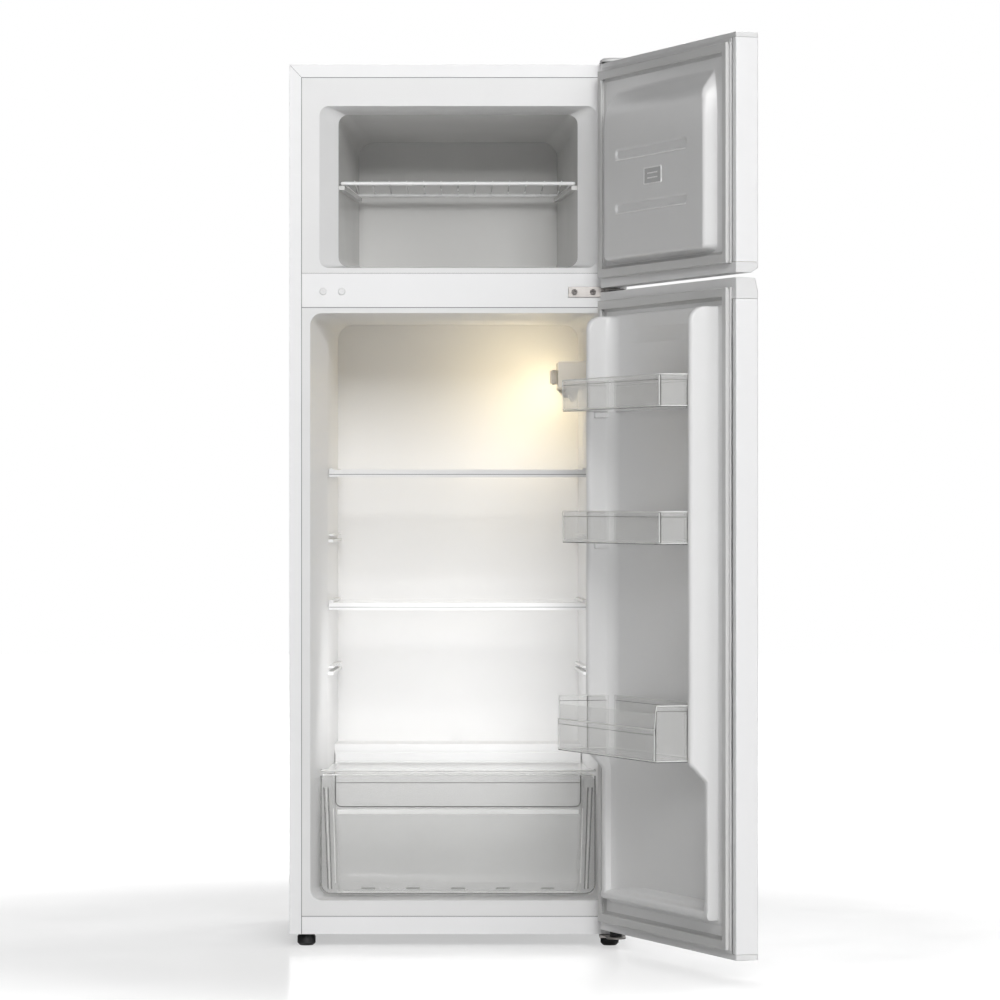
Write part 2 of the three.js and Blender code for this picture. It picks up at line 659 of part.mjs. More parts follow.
// The crisper: an open-topped box with a wide front panel.
function crisperDrawer() {
  const { depth, back, low, high, front, topHalf, bottomHalf } = DRAWER;
  const wall = DRAWER_WALL;
  const bend = DRAWER_BEND;
  const ring = (half, from, to, r, z) =>
    roundedRect(-half, half, behind(from), behind(to), r, 3).map(([x, y]) => [x, y, z]);
  const rim = COVER_TOP - GLASS - 12;
  const outer = loft([
    ring(bottomHalf - bend * 0.7, depth, back - 12, 14, low),
    ring(bottomHalf - bend * 0.2, depth, back - 8, 14, low + bend * 0.3),
    ring(bottomHalf, depth, back - 6, 14, low + bend),
    ring(topHalf, depth, back, 14, rim),
  ]);
  const hollow = loft([
    ring(bottomHalf - bend * 0.7 - wall, depth + wall, back - 12 - wall, 12, low + wall),
    ring(bottomHalf - bend * 0.2 - wall, depth + wall, back - 8 - wall, 12, low + bend * 0.3 + wall),
    ring(bottomHalf - wall, depth + wall, back - 6 - wall, 12, low + bend + wall),
    ring(topHalf - wall, depth + wall, back - wall, 12, rim + 1),
  ]);
  const panel = prism("y", roundedRect(low, high, -front, front, 16), behind(depth), behind(depth + wall));
  const gripOutline = roundedRect(GRIP.low, high - GAP, -GRIP.half, GRIP.half, GRIP.corner);
  const grip = prism("y", gripOutline, behind(depth - GRIP.rise), behind(depth + 1));
  return cut(join(outer, panel, grip), hollow);
}

function wireShelf() {
  const { height, front, back, bar: thick, wire, pitch, wires } = WIRE_SHELF;
  const clearance = 2.5 + thick;
  const corners = [
    [freezerHalf(front) - clearance, behind(front), height],
    [freezerHalf(back) - clearance, behind(back), height],
  ];
  const [nearRight, farRight] = corners;
  const [nearLeft, farLeft] = corners.map(([x, y, z]) => [-x, y, z]);
  const overhang = (from, to) => {
    const a = new THREE.Vector3(...from);
    const b = new THREE.Vector3(...to);
    const step = b.clone().sub(a).setLength(1);
    return rod([a.sub(step).toArray(), b.add(step).toArray()], thick);
  };
  const frame = [
    overhang(nearLeft, nearRight), overhang(farLeft, farRight),
    overhang(nearLeft, farLeft), overhang(nearRight, farRight),
  ];
  const grid = Array.from({ length: wires }, (_, i) => {
    const x = (i - (wires - 1) / 2) * pitch;
    const z = height + thick;
    return rod([[x, behind(front) - 2, z], [x, behind(back) + 2, z]], wire);
  });
  return join(...frame, ...grid);
}

// ---------------------------------------------------------------- doors, built closed and then swung open

function swungDoor() {
  const pivot = new THREE.Group();
  pivot.position.set(PIN.x, PIN.y, 0);
  pivot.rotation.z = OPEN_ANGLE;
  const leafGroup = new THREE.Group();
  leafGroup.position.set(-PIN.x, -PIN.y, 0);
  pivot.add(leafGroup);
  group.add(pivot);
  return leafGroup;
}

const pinBore = (z0, z1, radius = PIN_BORE) => bar(PIN.x, PIN.y, z0, z1, radius);

// The painted outer skin: the face, both side edges and the narrow returns on the inner side.
function doorPan(door) {
  const low = door.low + door.bottomCap + GAP;
  const high = door.high - door.topCap - GAP;
  const outer = box(-SIDE, SIDE, DOOR_OUT, DOOR_IN, low, high);
  const inner = box(-SIDE + SHEET, SIDE - SHEET, DOOR_OUT + SHEET, DOOR_IN - SHEET, low - 1, high + 1);
  const mouth = box(-SIDE + PAN_RETURN, SIDE - PAN_RETURN, DOOR_IN - 2, DOOR_IN + 1, low - 1, high + 1);
  return cut(outer, inner, mouth);
}

// Where the inner liner's flat margin lies.
function linerField(door) {
  const half = SIDE - PAN_RETURN - GAP;
  return { half, low: door.low + door.bottomCap + GAP, high: door.high - door.topCap - GAP };
}

// One upright rib of the fridge door's liner, outside (grow 0) or inside (grow < 0).
function doorRib(side, grow) {
  const outer = side * (RIB.outer + grow);
  const inner = side * (RIB.outer - RIB.width - grow);
  const crestOuter = side * (RIB.outer - RIB.draft + grow);
  const crestInner = side * (RIB.outer - RIB.width + RIB.draft - grow);
  const base = DOOR_IN - LINER - 1;
  const tall = DOOR_IN + RIB.height + grow;
  const short = DOOR_IN + RIB.lowHeight + grow;
  const { slope } = RIB;
  const plan = [[outer, base], [inner, base], [crestInner, tall], [crestOuter, tall]];
  const body = prism("z", plan, RIB.low - grow, RIB.high + grow);
  const stepBack = prism(
    "x",
    [
      [short, 0], [short, RIB.step], [tall + 5, RIB.step + slope + 4],
      [tall + 50, RIB.step + slope], [tall + 50, 0],
    ],
    -SIDE,
    SIDE,
  );
  const shoulder = RIB.shoulder + grow;
  const corner = cut(
    box(-SIDE, SIDE, tall - shoulder, tall + 2, RIB.high + grow - shoulder, RIB.high + grow + 2),
    prism("x", arc(tall - shoulder, RIB.high + grow - shoulder, shoulder, 0, 345, 23), -SIDE - 1, SIDE + 1),
  );
  return cut(body, stepBack, corner);
}

// The raised field of the fridge door's liner, with both ribs and the rail that joins their feet.
function fridgeDoorForm(grow) {
  const half = RIB.outer + RIB.margin;
  const base = DOOR_IN - LINER - 1;
  const field = box(
    -half - grow, half + grow, base, DOOR_IN + LINER_RISE + grow, FIELD.low - grow, FIELD.high + grow,
  );
  const rail = box(
    -RIB.outer - grow, RIB.outer + grow, base, DOOR_IN + RIB.lowHeight + grow,
    RIB.low - grow, RIB.low + RIB.width - RIB.draft + grow,
  );
  return join(field, rail, doorRib(-1, grow), doorRib(1, grow));
}

// The hollow between the ribs, sunk below the field, with a long slope at its top.
function doorPocket(grow) {
  const { half, low, high, depth, slope } = POCKET;
  const mouth = DOOR_IN + LINER_RISE + 2;
  const floor = DOOR_IN - depth - grow;
  const profile = [
    [floor, low + 8 - grow], [floor, high - slope + grow],
    [mouth, high + grow], [mouth, low - grow],
  ];
  return prism("x", profile, -half - grow, half + grow);
}

function binBosses() {
  const { length, height, rise } = BIN_BOSS;
  const inner = RIB.outer - RIB.width;
  const y0 = DOOR_IN + 10;
  return BINS.flatMap(({ low }) =>
    [-1, 1].map((side) => {
      const [x0, x1] = [side * (inner - rise), side * (inner + LINER / 2)].sort((a, b) => a - b);
      return box(x0, x1, y0, y0 + length, low - GAP - height, low - GAP);
    }));
}

function fridgeDoorLiner() {
  const { half, low, high } = linerField(LOWER_DOOR);
  const sheet = box(-half, half, DOOR_IN - LINER, DOOR_IN, low, high);
  const shell = cut(join(sheet, cut(fridgeDoorForm(0), belowLiner())), fridgeDoorForm(-LINER));
  const tub = cut(doorPocket(LINER), box(-SIDE, SIDE, DOOR_IN + LINER_RISE, DOOR_IN + RIB.height, 0, TOP));
  return join(cut(join(shell, tub), doorPocket(0)), ...binBosses());
}

const belowLiner = () => box(-SIDE, SIDE, DOOR_OUT, DOOR_IN - LINER, 0, TOP);

function freezerDoorForm(grow) {
  const { base, crest, rise, low, high, crestLow, crestHigh } = PLATEAU;
  const ring = (half, z0, z1, y) =>
    roundedRect(-half - grow, half + grow, z0 - grow, z1 + grow, 14).map(([x, z]) => [x, y, z]);
  return loft([
    ring(base, low, high, DOOR_IN - LINER - 1),
    ring(base, low, high, DOOR_IN),
    ring(crest, crestLow, crestHigh, DOOR_IN + rise + grow),
  ]);
}

// The two long round-ended bands sunk into the freezer door's plateau.
function plateauBands() {
  const { left, right, height, depth, centres } = BAND;
  const top = DOOR_IN + PLATEAU.rise;
  return centres.map((z) => {
    const outline = roundedRect(z - height / 2, z + height / 2, left, right, height / 2 - 0.1, 6);
    return prism("y", outline, top - depth, top + 1);
  });
}

// A plain raised frame in the middle of the plateau.
function emblemFrame() {
  const { x, z, width, height, line, rise } = EMBLEM;
  const top = DOOR_IN + PLATEAU.rise;
  const plate = (inset) => box(
    x - width / 2 + inset, x + width / 2 - inset, top - 1, top + rise,
    z - height / 2 + inset, z + height / 2 - inset,
  );
  return cut(plate(0), plate(line));
}

function freezerDoorLiner() {
  const { half, low, high } = linerField(UPPER_DOOR);
  const sheet = box(-half, half, DOOR_IN - LINER, DOOR_IN, low, high);
  const shell = cut(join(sheet, cut(freezerDoorForm(0), belowLiner())), freezerDoorForm(-LINER));
  return join(cut(shell, ...plateauBands()), emblemFrame());
}

// The insulation inside a door, filling the hollows of its liner.
function doorFoam(door, form, ...hollows) {
  const clear = SHEET + GAP;
  const low = door.low + door.bottomCap + GAP;
  const high = door.high - door.topCap - GAP;
  const block = box(-SIDE + clear, SIDE - clear, DOOR_OUT + clear, DOOR_IN - LINER - GAP, low, high);
  const bores = [pinBore(low - 1, low + 12, 7), pinBore(high - 16, high + 1, 7)];
  return cut(join(block, form(-LINER - GAP)), ...bores, ...hollows);
}

function doorGasket(door) {
  const { inset, width, height } = GASKET;
  const ring = (offset, r) =>
    roundedRect(door.low + offset, door.high - offset, -SIDE + offset, SIDE - offset, r);
  const outer = prism("y", ring(inset, 6), DOOR_IN + GAP, DOOR_IN + height);
  return cut(outer, prism("y", ring(inset + width, 3), DOOR_IN - 1, DOOR_IN + height + 1));
}

// End caps across the full width, as outlines in (y, z).
function doorCap(outline, boreLow, boreHigh) {
  return cut(prism("x", outline, -SIDE, SIDE), pinBore(boreLow, boreHigh));
}

function flatCap(z0, z1) {
  return doorCap([[DOOR_IN, z0], [DOOR_OUT, z0], [DOOR_OUT, z1], [DOOR_IN, z1]], z0 - 1, z1 + 1);
}

// The fridge door's top: its outer face leans in, to leave room for fingers.
function fridgeTopCap() {
  const z0 = LOWER_DOOR.high - LOWER_DOOR.topCap;
  const z1 = LOWER_DOOR.high;
  const outline = [[DOOR_IN, z0], [DOOR_OUT, z0], [DOOR_OUT, z0 + 13], [DOOR_OUT + 5, z1], [DOOR_IN, z1]];
  return doorCap(outline, z1 - 16, z1 + 1);
}

// The freezer door's bottom: its underside rises to the outside as a finger pull.
function freezerBottomCap() {
  const z0 = UPPER_DOOR.low;
  const z1 = UPPER_DOOR.low + UPPER_DOOR.bottomCap;
  const outline = [[DOOR_IN, z0], [DOOR_IN - 26, z0], [DOOR_OUT, z0 + 7], [DOOR_OUT, z1], [DOOR_IN, z1]];
  return doorCap(outline, z0 - 1, z0 + 15);
}

// A door bin: a tray that is narrower where it sits between the ribs. The deep one has a lower front wall.
function doorBin({ low, back }) {
  const front = DOOR_IN + (back ? BIN.deepReach : BIN.reach);
  const outline = (inset) => {
    const [near, far] = [DOOR_IN + LINER_RISE + 3 + inset, front - inset];
    const step = DOOR_IN + RIB.height + 0.8 + inset;
    const r = BIN.corner - inset;
    const [narrow, wide] = [BIN.behindRibs - inset, BIN.beyondRibs - inset];
    return [
      [-narrow, near], [narrow, near], [narrow, step], [wide, step],
      ...arc(wide - r, far - r, r, 0, 90, 4),
      ...arc(r - wide, far - r, r, 90, 180, 4),
      [-wide, step], [-narrow, step],
    ];
  };
  const top = low + BIN.height;
  const tray = prism("z", outline(0), low, top + back);
  const hollow = prism("z", outline(BIN.wall), low + BIN.wall, top + back + 1);
  const frontRelief = prism(
    "x",
    [[front - 2.6, top], [front - 3, top + back + 1], [front + 10, top + back + 1], [front + 10, top]],
    -SIDE,
    SIDE,
  );
  return back ? cut(tray, hollow, frontRelief) : cut(tray, hollow);
}

// ---------------------------------------------------------------- assembly

put(group, "cabinet_shell", cabinetShell(), "white_steel");
put(group, "back_panel", backPanel(), "galvanised");
put(group, "base_pan", basePan(), "galvanised");
put(group, "front_base_beam", baseBeam(), "white_steel");
put(group, "center_crossbar", crossbar(), "white_steel");
put(group, "cabinet_foam", cabinetFoam(), "foam");
put(group, "freezer_liner", freezerLiner(), "white_plastic");
put(group, "fridge_liner", fridgeLiner(), "white_plastic");
put(group, "evaporator_plate", evaporatorBox(0), "aluminium");
put(group, "condenser_coil", condenserCoil(), "copper");

put(group, "compressor", compressor(), "black_steel");
put(group, "compressor_plate", compressorPlate(), "galvanised");
put(group, "drip_tray", dripTray(), "black_plastic");
put(group, "drain_tube", drainTube(), "grey_plastic");
put(group, "terminal_box", terminalBox(), "black_plastic");
put(group, "cord_gland", cordGland(), "black_plastic");

put(group, "lamp_housing", lampHousing(), "white_plastic");
put(group, "lamp_cover", lampCover(), "warm_lens");
put(group, "lamp_bulb", lampBulb(), "clear_glass");
put(group, "thermostat_knob", thermostatKnob(), "grey_plastic");
put(group, "door_switch_body", doorSwitchBody(), "white_plastic");
put(group, "door_switch_plunger", doorSwitchPlunger(), "grey_plastic");

put(group, "top_hinge_bracket", topHinge(), "zinc");
put(group, "top_hinge_cover", topHingeCover(), "white_plastic");
put(group, "middle_hinge_bracket", middleHinge(), "zinc");
put(group, "middle_hinge_washer", washer(LOWER_DOOR.high + GAP, 1058.5, 12), "black_plastic");
SCREW_X.forEach((x, i) => put(group, `middle_hinge_screw_${i + 1}`, hingeScrew(x), "zinc"));
SCREW_X.forEach((x, i) => put(group, `hinge_hole_plug_${i + 1}`, holePlug(-x), "white_plastic"));
put(group, "bottom_hinge_bracket", bottomHinge(), "zinc");
put(group, "bottom_hinge_washer", washer(19.9, LOWER_DOOR.low - GAP, 10), "black_plastic");
put(group, "front_foot_left", frontFoot(-1), "black_plastic");
put(group, "front_foot_right", frontFoot(1), "black_plastic");
put(group, "rear_foot_left", rearFoot(-1), "black_plastic");
put(group, "rear_foot_right", rearFoot(1), "black_plastic");

put(group, "freezer_wire_shelf", wireShelf(), "white_wire");
put(group, "upper_shelf_glass", shelfGlass(shelfTop(0)), "clear_glass");
put(group, "upper_shelf_trim", shelfTrim(shelfTop(0)), "white_plastic");
put(group, "lower_shelf_glass", shelfGlass(shelfTop(2)), "clear_glass");
put(group, "lower_shelf_trim", shelfTrim(shelfTop(2)), "white_plastic");
put(group, "crisper_cover_glass", coverGlass(), "clear_glass");
put(group, "crisper_cover_trim", coverTrim(), "white_plastic");
put(group, "crisper_drawer", crisperDrawer(), "clear_plastic");

const freezerDoor = swungDoor();
put(freezerDoor, "freezer_door_pan", doorPan(UPPER_DOOR), "white_steel");
put(freezerDoor, "freezer_door_foam", doorFoam(UPPER_DOOR, freezerDoorForm), "foam");
put(freezerDoor, "freezer_door_liner", freezerDoorLiner(), "white_plastic");
put(freezerDoor, "freezer_door_gasket", doorGasket(UPPER_DOOR), "gasket_rubber");
const topCap = flatCap(UPPER_DOOR.high - UPPER_DOOR.topCap, UPPER_DOOR.high);
put(freezerDoor, "freezer_door_top_cap", topCap, "white_plastic");
put(freezerDoor, "freezer_door_grip_cap", freezerBottomCap(), "white_plastic");

const fridgeDoor = swungDoor();
put(fridgeDoor, "fridge_door_pan", doorPan(LOWER_DOOR), "white_steel");
const fridgeDoorFoam = doorFoam(LOWER_DOOR, fridgeDoorForm, doorPocket(LINER + GAP));
put(fridgeDoor, "fridge_door_foam", fridgeDoorFoam, "foam");
put(fridgeDoor, "fridge_door_liner", fridgeDoorLiner(), "white_plastic");
put(fridgeDoor, "fridge_door_gasket", doorGasket(LOWER_DOOR), "gasket_rubber");
put(fridgeDoor, "fridge_door_grip_cap", fridgeTopCap(), "white_plastic");
const bottomCap = flatCap(LOWER_DOOR.low, LOWER_DOOR.low + LOWER_DOOR.bottomCap);
put(fridgeDoor, "fridge_door_bottom_cap", bottomCap, "white_plastic");
BINS.forEach((bin) => put(fridgeDoor, bin.name, doorBin(bin), "clear_plastic"));

export default group;
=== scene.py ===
"""Finishes the top freezer refrigerator: materials, softened edges, seals, floor, lights and camera."""
import json
import math

import bmesh
import bpy
from mathutils import Matrix, Vector


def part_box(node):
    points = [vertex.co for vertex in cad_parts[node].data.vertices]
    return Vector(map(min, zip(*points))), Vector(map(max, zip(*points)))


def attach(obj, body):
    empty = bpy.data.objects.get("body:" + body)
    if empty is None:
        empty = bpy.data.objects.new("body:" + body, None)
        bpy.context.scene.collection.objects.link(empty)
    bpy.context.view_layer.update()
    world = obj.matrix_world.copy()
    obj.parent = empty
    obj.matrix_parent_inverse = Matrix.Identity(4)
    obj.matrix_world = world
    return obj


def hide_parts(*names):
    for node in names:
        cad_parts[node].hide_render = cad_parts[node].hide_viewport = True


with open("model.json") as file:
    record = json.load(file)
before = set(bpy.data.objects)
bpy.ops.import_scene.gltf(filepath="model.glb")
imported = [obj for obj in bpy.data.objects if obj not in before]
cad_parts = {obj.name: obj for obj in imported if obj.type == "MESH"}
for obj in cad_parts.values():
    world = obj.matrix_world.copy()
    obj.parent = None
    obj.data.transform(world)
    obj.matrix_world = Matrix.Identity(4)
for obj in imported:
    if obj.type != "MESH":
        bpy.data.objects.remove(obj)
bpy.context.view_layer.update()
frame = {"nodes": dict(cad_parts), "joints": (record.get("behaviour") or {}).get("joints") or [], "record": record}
NODES = frame["nodes"]
BODIES = frame["record"]["behaviour"]["bodies"]
BODY_OF = {node: body for body, members in BODIES.items() for node in members}
MM = 0.001

# ---------------------------------------------------------------- driving values
CAMERA_DISTANCE = 7.4353      # metres, from the cabinet's front face
CAMERA_HEIGHT = 0.7189        # metres
CAMERA_LENS = 165.66          # millimetres, on a sensor 36 mm wide
CAMERA_SHIFT = (0.04195, 0.00198)

# name: place, what it faces, width and height, all in metres, and power in watts
LIGHTS = {
    "key": ((0.9, -9.6, 4.4), (0, 0, 0.7), (4.4, 3.0), 535),
    "top": ((1.6, -2.0, 6.0), (-0.2, 0, 0), (3.0, 3.0), 22),
    "front_right": ((5.6, -8.6, 4.4), (0.2, 0, 0.7), (3.2, 3.6), 130),
    "front_left": ((-5.6, -8.6, 4.4), (0, 0, 0.7), (3.2, 3.6), 80),
    "back": ((0.9, 7.0, 5.6), (0, 0, 0.7), (3.2, 2.6), 240),
    "back_right": ((5.0, 5.4, 5.0), (0, 0, 0.7), (3.2, 3.6), 240),
}
# the fridge's own lamp, in metres: its distance from its cover inwards, from the back wall and above the
# cover, and the spot it faces on that wall, by its distance from the middle and below the cover
LAMP = {"inward": 0.02, "forward": 0.15, "above": 0.01, "aim_x": 0.04, "aim_below": 0.03}
LAMP_LIGHT = {"size": (0.07, 0.09), "power": 0.29, "colour": (1.0, 0.82, 0.5)}
# two weak lights just inside the fridge: height, the height they face on the back wall, size and power
INNER_LIGHTS = {
    "inner_fill": (0.60, 0.50, (0.36, 0.3), 0.09),
    "inner_low": (0.42, 0.36, (0.36, 0.2), 0.43),
}
INNER_DEPTH = 0.04            # metres behind the fridge's mouth
WORLD_LIGHT = 0.05            # strength of the light from all round
# the floor's glow, from near to far away from the middle, fades it into the background
FLOOR_GLOW = {"near": 0.7, "far": 1.8, "low": 0.5, "high": 1.0}
FLOOR_SINK = 0.0004           # metres below the feet

MOUTH_DEPTH = 31              # millimetres, the freezer liner's rim and funnel
# the dark strips of painted shade laid on the cabinet's joints
SEAM = {"width": 1.1, "proud": 0.06, "depth": 0.6}   # millimetres
EDGE_WIDTH = 0.5              # millimetres, the rounding of a CAD node's edges
EDGE_WIDTHS = {"cabinet_shell": 0.45, "fridge_liner": 2.5, "freezer_liner": 2.5}
# CAD nodes shown in another finish than that of their material
FINISH_OF = {
    # the freezer liner's inside is painted greyer as painted shade; white_mouth keeps its rim white
    "freezer_liner": "freezer_lining",
    "lamp_housing": "warm_plastic",
    "thermostat_knob": "warm_plastic",
    "middle_hinge_screw_1": "screw_steel",
    "middle_hinge_screw_2": "screw_steel",
}
BINS = ("door_bin_upper", "door_bin_middle", "door_bin_bottle")
TOWARDS = (0, 1, 0)           # square to the closed door and to the drawer's face
UP = (0, 0, 1)


# ---------------------------------------------------------------- camera
def make_camera():
    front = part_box("cabinet_shell")[0].y
    data = bpy.data.cameras.new("camera")
    data.lens = CAMERA_LENS
    data.sensor_width = 36
    data.shift_x, data.shift_y = CAMERA_SHIFT
    data.clip_end = 100
    camera = bpy.data.objects.new("camera", data)
    camera.location = (0, front - CAMERA_DISTANCE, CAMERA_HEIGHT)
    camera.rotation_euler = (math.pi / 2, 0, 0)
    bpy.context.scene.collection.objects.link(camera)
    bpy.context.scene.camera = camera


# ---------------------------------------------------------------- light and floor
def area_light(name, place, target, size, power, colour=(1, 1, 1)):
    data = bpy.data.lights.new(name, "AREA")
    data.shape = "RECTANGLE"
    data.size, data.size_y = size
    data.energy = power
    data.color = colour
    light = bpy.data.objects.new(name, data)
    light.location = place
    light.rotation_euler = (Vector(target) - Vector(place)).to_track_quat("-Z", "Y").to_euler()
    light.visible_camera = False
    bpy.context.scene.collection.objects.link(light)


def make_lights():
    for name, settings in LIGHTS.items():
        area_light(name, *settings)
    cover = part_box("lamp_cover")
    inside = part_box("fridge_liner")
    wall = inside[1].y
    place = (cover[0].x - LAMP["inward"], wall - LAMP["forward"], cover[1].z + LAMP["above"])
    target = (LAMP["aim_x"], wall, cover[0].z - LAMP["aim_below"])
    area_light("lamp", place, target, LAMP_LIGHT["size"], LAMP_LIGHT["power"], LAMP_LIGHT["colour"])
    near = inside[0].y + INNER_DEPTH
    for name, (height, aim, size, power) in INNER_LIGHTS.items():
        area_light(name, (0, near, height), (0, wall, aim), size, power)


def make_world():
    """White to the camera; a weak light, brighter from above, to everything else."""
    world = bpy.data.worlds.new("studio")
    bpy.context.scene.world = world
    world.use_nodes = True
    nodes, links = world.node_tree.nodes, world.node_tree.links
    nodes.clear()
    out = nodes.new("ShaderNodeOutputWorld")
    mix = nodes.new("ShaderNodeMixShader")
    seen = nodes.new("ShaderNodeBackground")
    lit = nodes.new("ShaderNodeBackground")
    path = nodes.new("ShaderNodeLightPath")
    coords = nodes.new("ShaderNodeTexCoord")
    split = nodes.new("ShaderNodeSeparateXYZ")
    ramp = nodes.new("ShaderNodeValToRGB")
    seen.inputs["Color"].default_value = (1, 1, 1, 1)
    seen.inputs["Strength"].default_value = 1.0
    lit.inputs["Strength"].default_value = WORLD_LIGHT
    ramp.color_ramp.elements[0].position = 0.35
    ramp.color_ramp.elements[0].color = (0.55, 0.55, 0.56, 1)
    ramp.color_ramp.elements[1].position = 0.8
    ramp.color_ramp.elements[1].color = (1, 1, 1, 1)
    scale = nodes.new("ShaderNodeMapRange")
    scale.inputs["From Min"].default_value = -1
    links.new(coords.outputs["Generated"], split.inputs[0])
    links.new(split.outputs["Z"], scale.inputs["Value"])
    links.new(scale.outputs["Result"], ramp.inputs["Fac"])
    links.new(ramp.outputs["Color"], lit.inputs["Color"])
    links.new(path.outputs["Is Camera Ray"], mix.inputs["Fac"])
    links.new(lit.outputs[0], mix.inputs[1])
    links.new(seen.outputs[0], mix.inputs[2])
    links.new(mix.outputs[0], out.inputs["Surface"])


def make_floor():
    """A white studio floor that fades into the background away from the object."""
    half = 14
    corners = [(x * half, y * half, -FLOOR_SINK) for x, y in ((-1, -1), (1, -1), (1, 1), (-1, 1))]
    mesh = bpy.data.meshes.new("floor")
    mesh.from_pydata(corners, [], [(0, 1, 2, 3)])
    floor = bpy.data.objects.new("floor", mesh)
    bpy.context.scene.collection.objects.link(floor)
    look = surface("floor_white", (0.93, 0.93, 0.93), 0.2, wave=(1.2, 0.0), mottle=0.004, specular=0.3)
    nodes, links = look.node_tree.nodes, look.node_tree.links
    shader = nodes["Principled BSDF"]
    coords = nodes.new("ShaderNodeTexCoord")
    reach = nodes.new("ShaderNodeVectorMath")
    reach.operation = "LENGTH"
    fade = nodes.new("ShaderNodeMapRange")
    fade.interpolation_type = "SMOOTHSTEP"
    fade.inputs["From Min"].default_value = FLOOR_GLOW["near"]
    fade.inputs["From Max"].default_value = FLOOR_GLOW["far"]
    fade.inputs["To Min"].default_value = FLOOR_GLOW["low"]
    fade.inputs["To Max"].default_value = FLOOR_GLOW["high"]
    path = nodes.new("ShaderNodeLightPath")
    seen = nodes.new("ShaderNodeMath")
    seen.operation = "MULTIPLY"
    links.new(coords.outputs["Object"], reach.inputs[0])
    links.new(reach.outputs["Value"], fade.inputs["Value"])
    links.new(fade.outputs["Result"], seen.inputs[0])
    links.new(path.outputs["Is Camera Ray"], seen.inputs[1])
    links.new(seen.outputs["Value"], shader.inputs["Emission Strength"])
    shader.inputs["Emission Color"].default_value = (1, 1, 1, 1)
    mesh.materials.append(look)


# ---------------------------------------------------------------- materials
def surface(name, colour, roughness, wave, metallic=0.0, grain=(1, 1, 1), mottle=0.02, mottle_scale=6.0,
            rough_range=0.05, specular=0.5, transmission=0.0, alpha=1.0):
    """Faint colour mottling, uneven gloss, and a bump whose scale and depth in millimetres are the wave."""
    made = bpy.data.materials.new(name)
    made.use_nodes = True
    nodes, links = made.node_tree.nodes, made.node_tree.links
    shader = nodes["Principled BSDF"]
    shader.inputs["Metallic"].default_value = metallic
    shader.inputs["Specular IOR Level"].default_value = specular
    shader.inputs["Transmission Weight"].default_value = transmission
    shader.inputs["Alpha"].default_value = alpha
    coords = nodes.new("ShaderNodeTexCoord")
    cloud = nodes.new("ShaderNodeTexNoise")
    cloud.inputs["Scale"].default_value = mottle_scale
    cloud.inputs["Detail"].default_value = 3
    links.new(coords.outputs["Object"], cloud.inputs["Vector"])
    tint = nodes.new("ShaderNodeValToRGB")
    tint.color_ramp.elements[0].position = 0.3
    tint.color_ramp.elements[1].position = 0.7
    tint.color_ramp.elements[0].color = (*[c * (1 - mottle) for c in colour], 1)
    tint.color_ramp.elements[1].color = (*[min(1, c * (1 + mottle)) for c in colour], 1)
    links.new(cloud.outputs["Fac"], tint.inputs["Fac"])
    links.new(tint.outputs["Color"], shader.inputs["Base Color"])
    gloss = nodes.new("ShaderNodeMapRange")
    gloss.inputs["To Min"].default_value = max(0.0, roughness - rough_range)
    gloss.inputs["To Max"].default_value = roughness + rough_range
    links.new(cloud.outputs["Fac"], gloss.inputs["Value"])
    links.new(gloss.outputs["Result"], shader.inputs["Roughness"])
    scale, depth = wave
    if depth:
        peel = nodes.new("ShaderNodeTexNoise")
        peel.inputs["Scale"].default_value = scale
        peel.inputs["Detail"].default_value = 2
        stretch = nodes.new("ShaderNodeMapping")
        stretch.inputs["Scale"].default_value = grain
        bump = nodes.new("ShaderNodeBump")
        bump.inputs["Strength"].default_value = 1.0
        bump.inputs["Distance"].default_value = depth * MM
        links.new(coords.outputs["Object"], stretch.inputs["Vector"])
        links.new(stretch.outputs["Vector"], peel.inputs["Vector"])
        links.new(peel.outputs["Fac"], bump.inputs["Height"])
        links.new(bump.outputs["Normal"], shader.inputs["Normal"])
    return made


def clear_sheet(name, colour, roughness, faint, edge, wave):
    """A clear moulding: faint where it is seen square on, denser where it is seen along its surface."""
    made = surface(name, colour, roughness, wave=wave, mottle=0.01, rough_range=0.02, specular=0.6)
    nodes, links = made.node_tree.nodes, made.node_tree.links
    facing = nodes.new("ShaderNodeLayerWeight")
    facing.inputs["Blend"].default_value = 0.5
    opacity = nodes.new("ShaderNodeMapRange")
    opacity.inputs["From Min"].default_value = 0.84
    opacity.inputs["From Max"].default_value = 1.0
    opacity.inputs["To Min"].default_value = faint
    opacity.inputs["To Max"].default_value = edge
    links.new(facing.outputs["Facing"], opacity.inputs["Value"])
    links.new(opacity.outputs["Result"], nodes["Principled BSDF"].inputs["Alpha"])
    return made


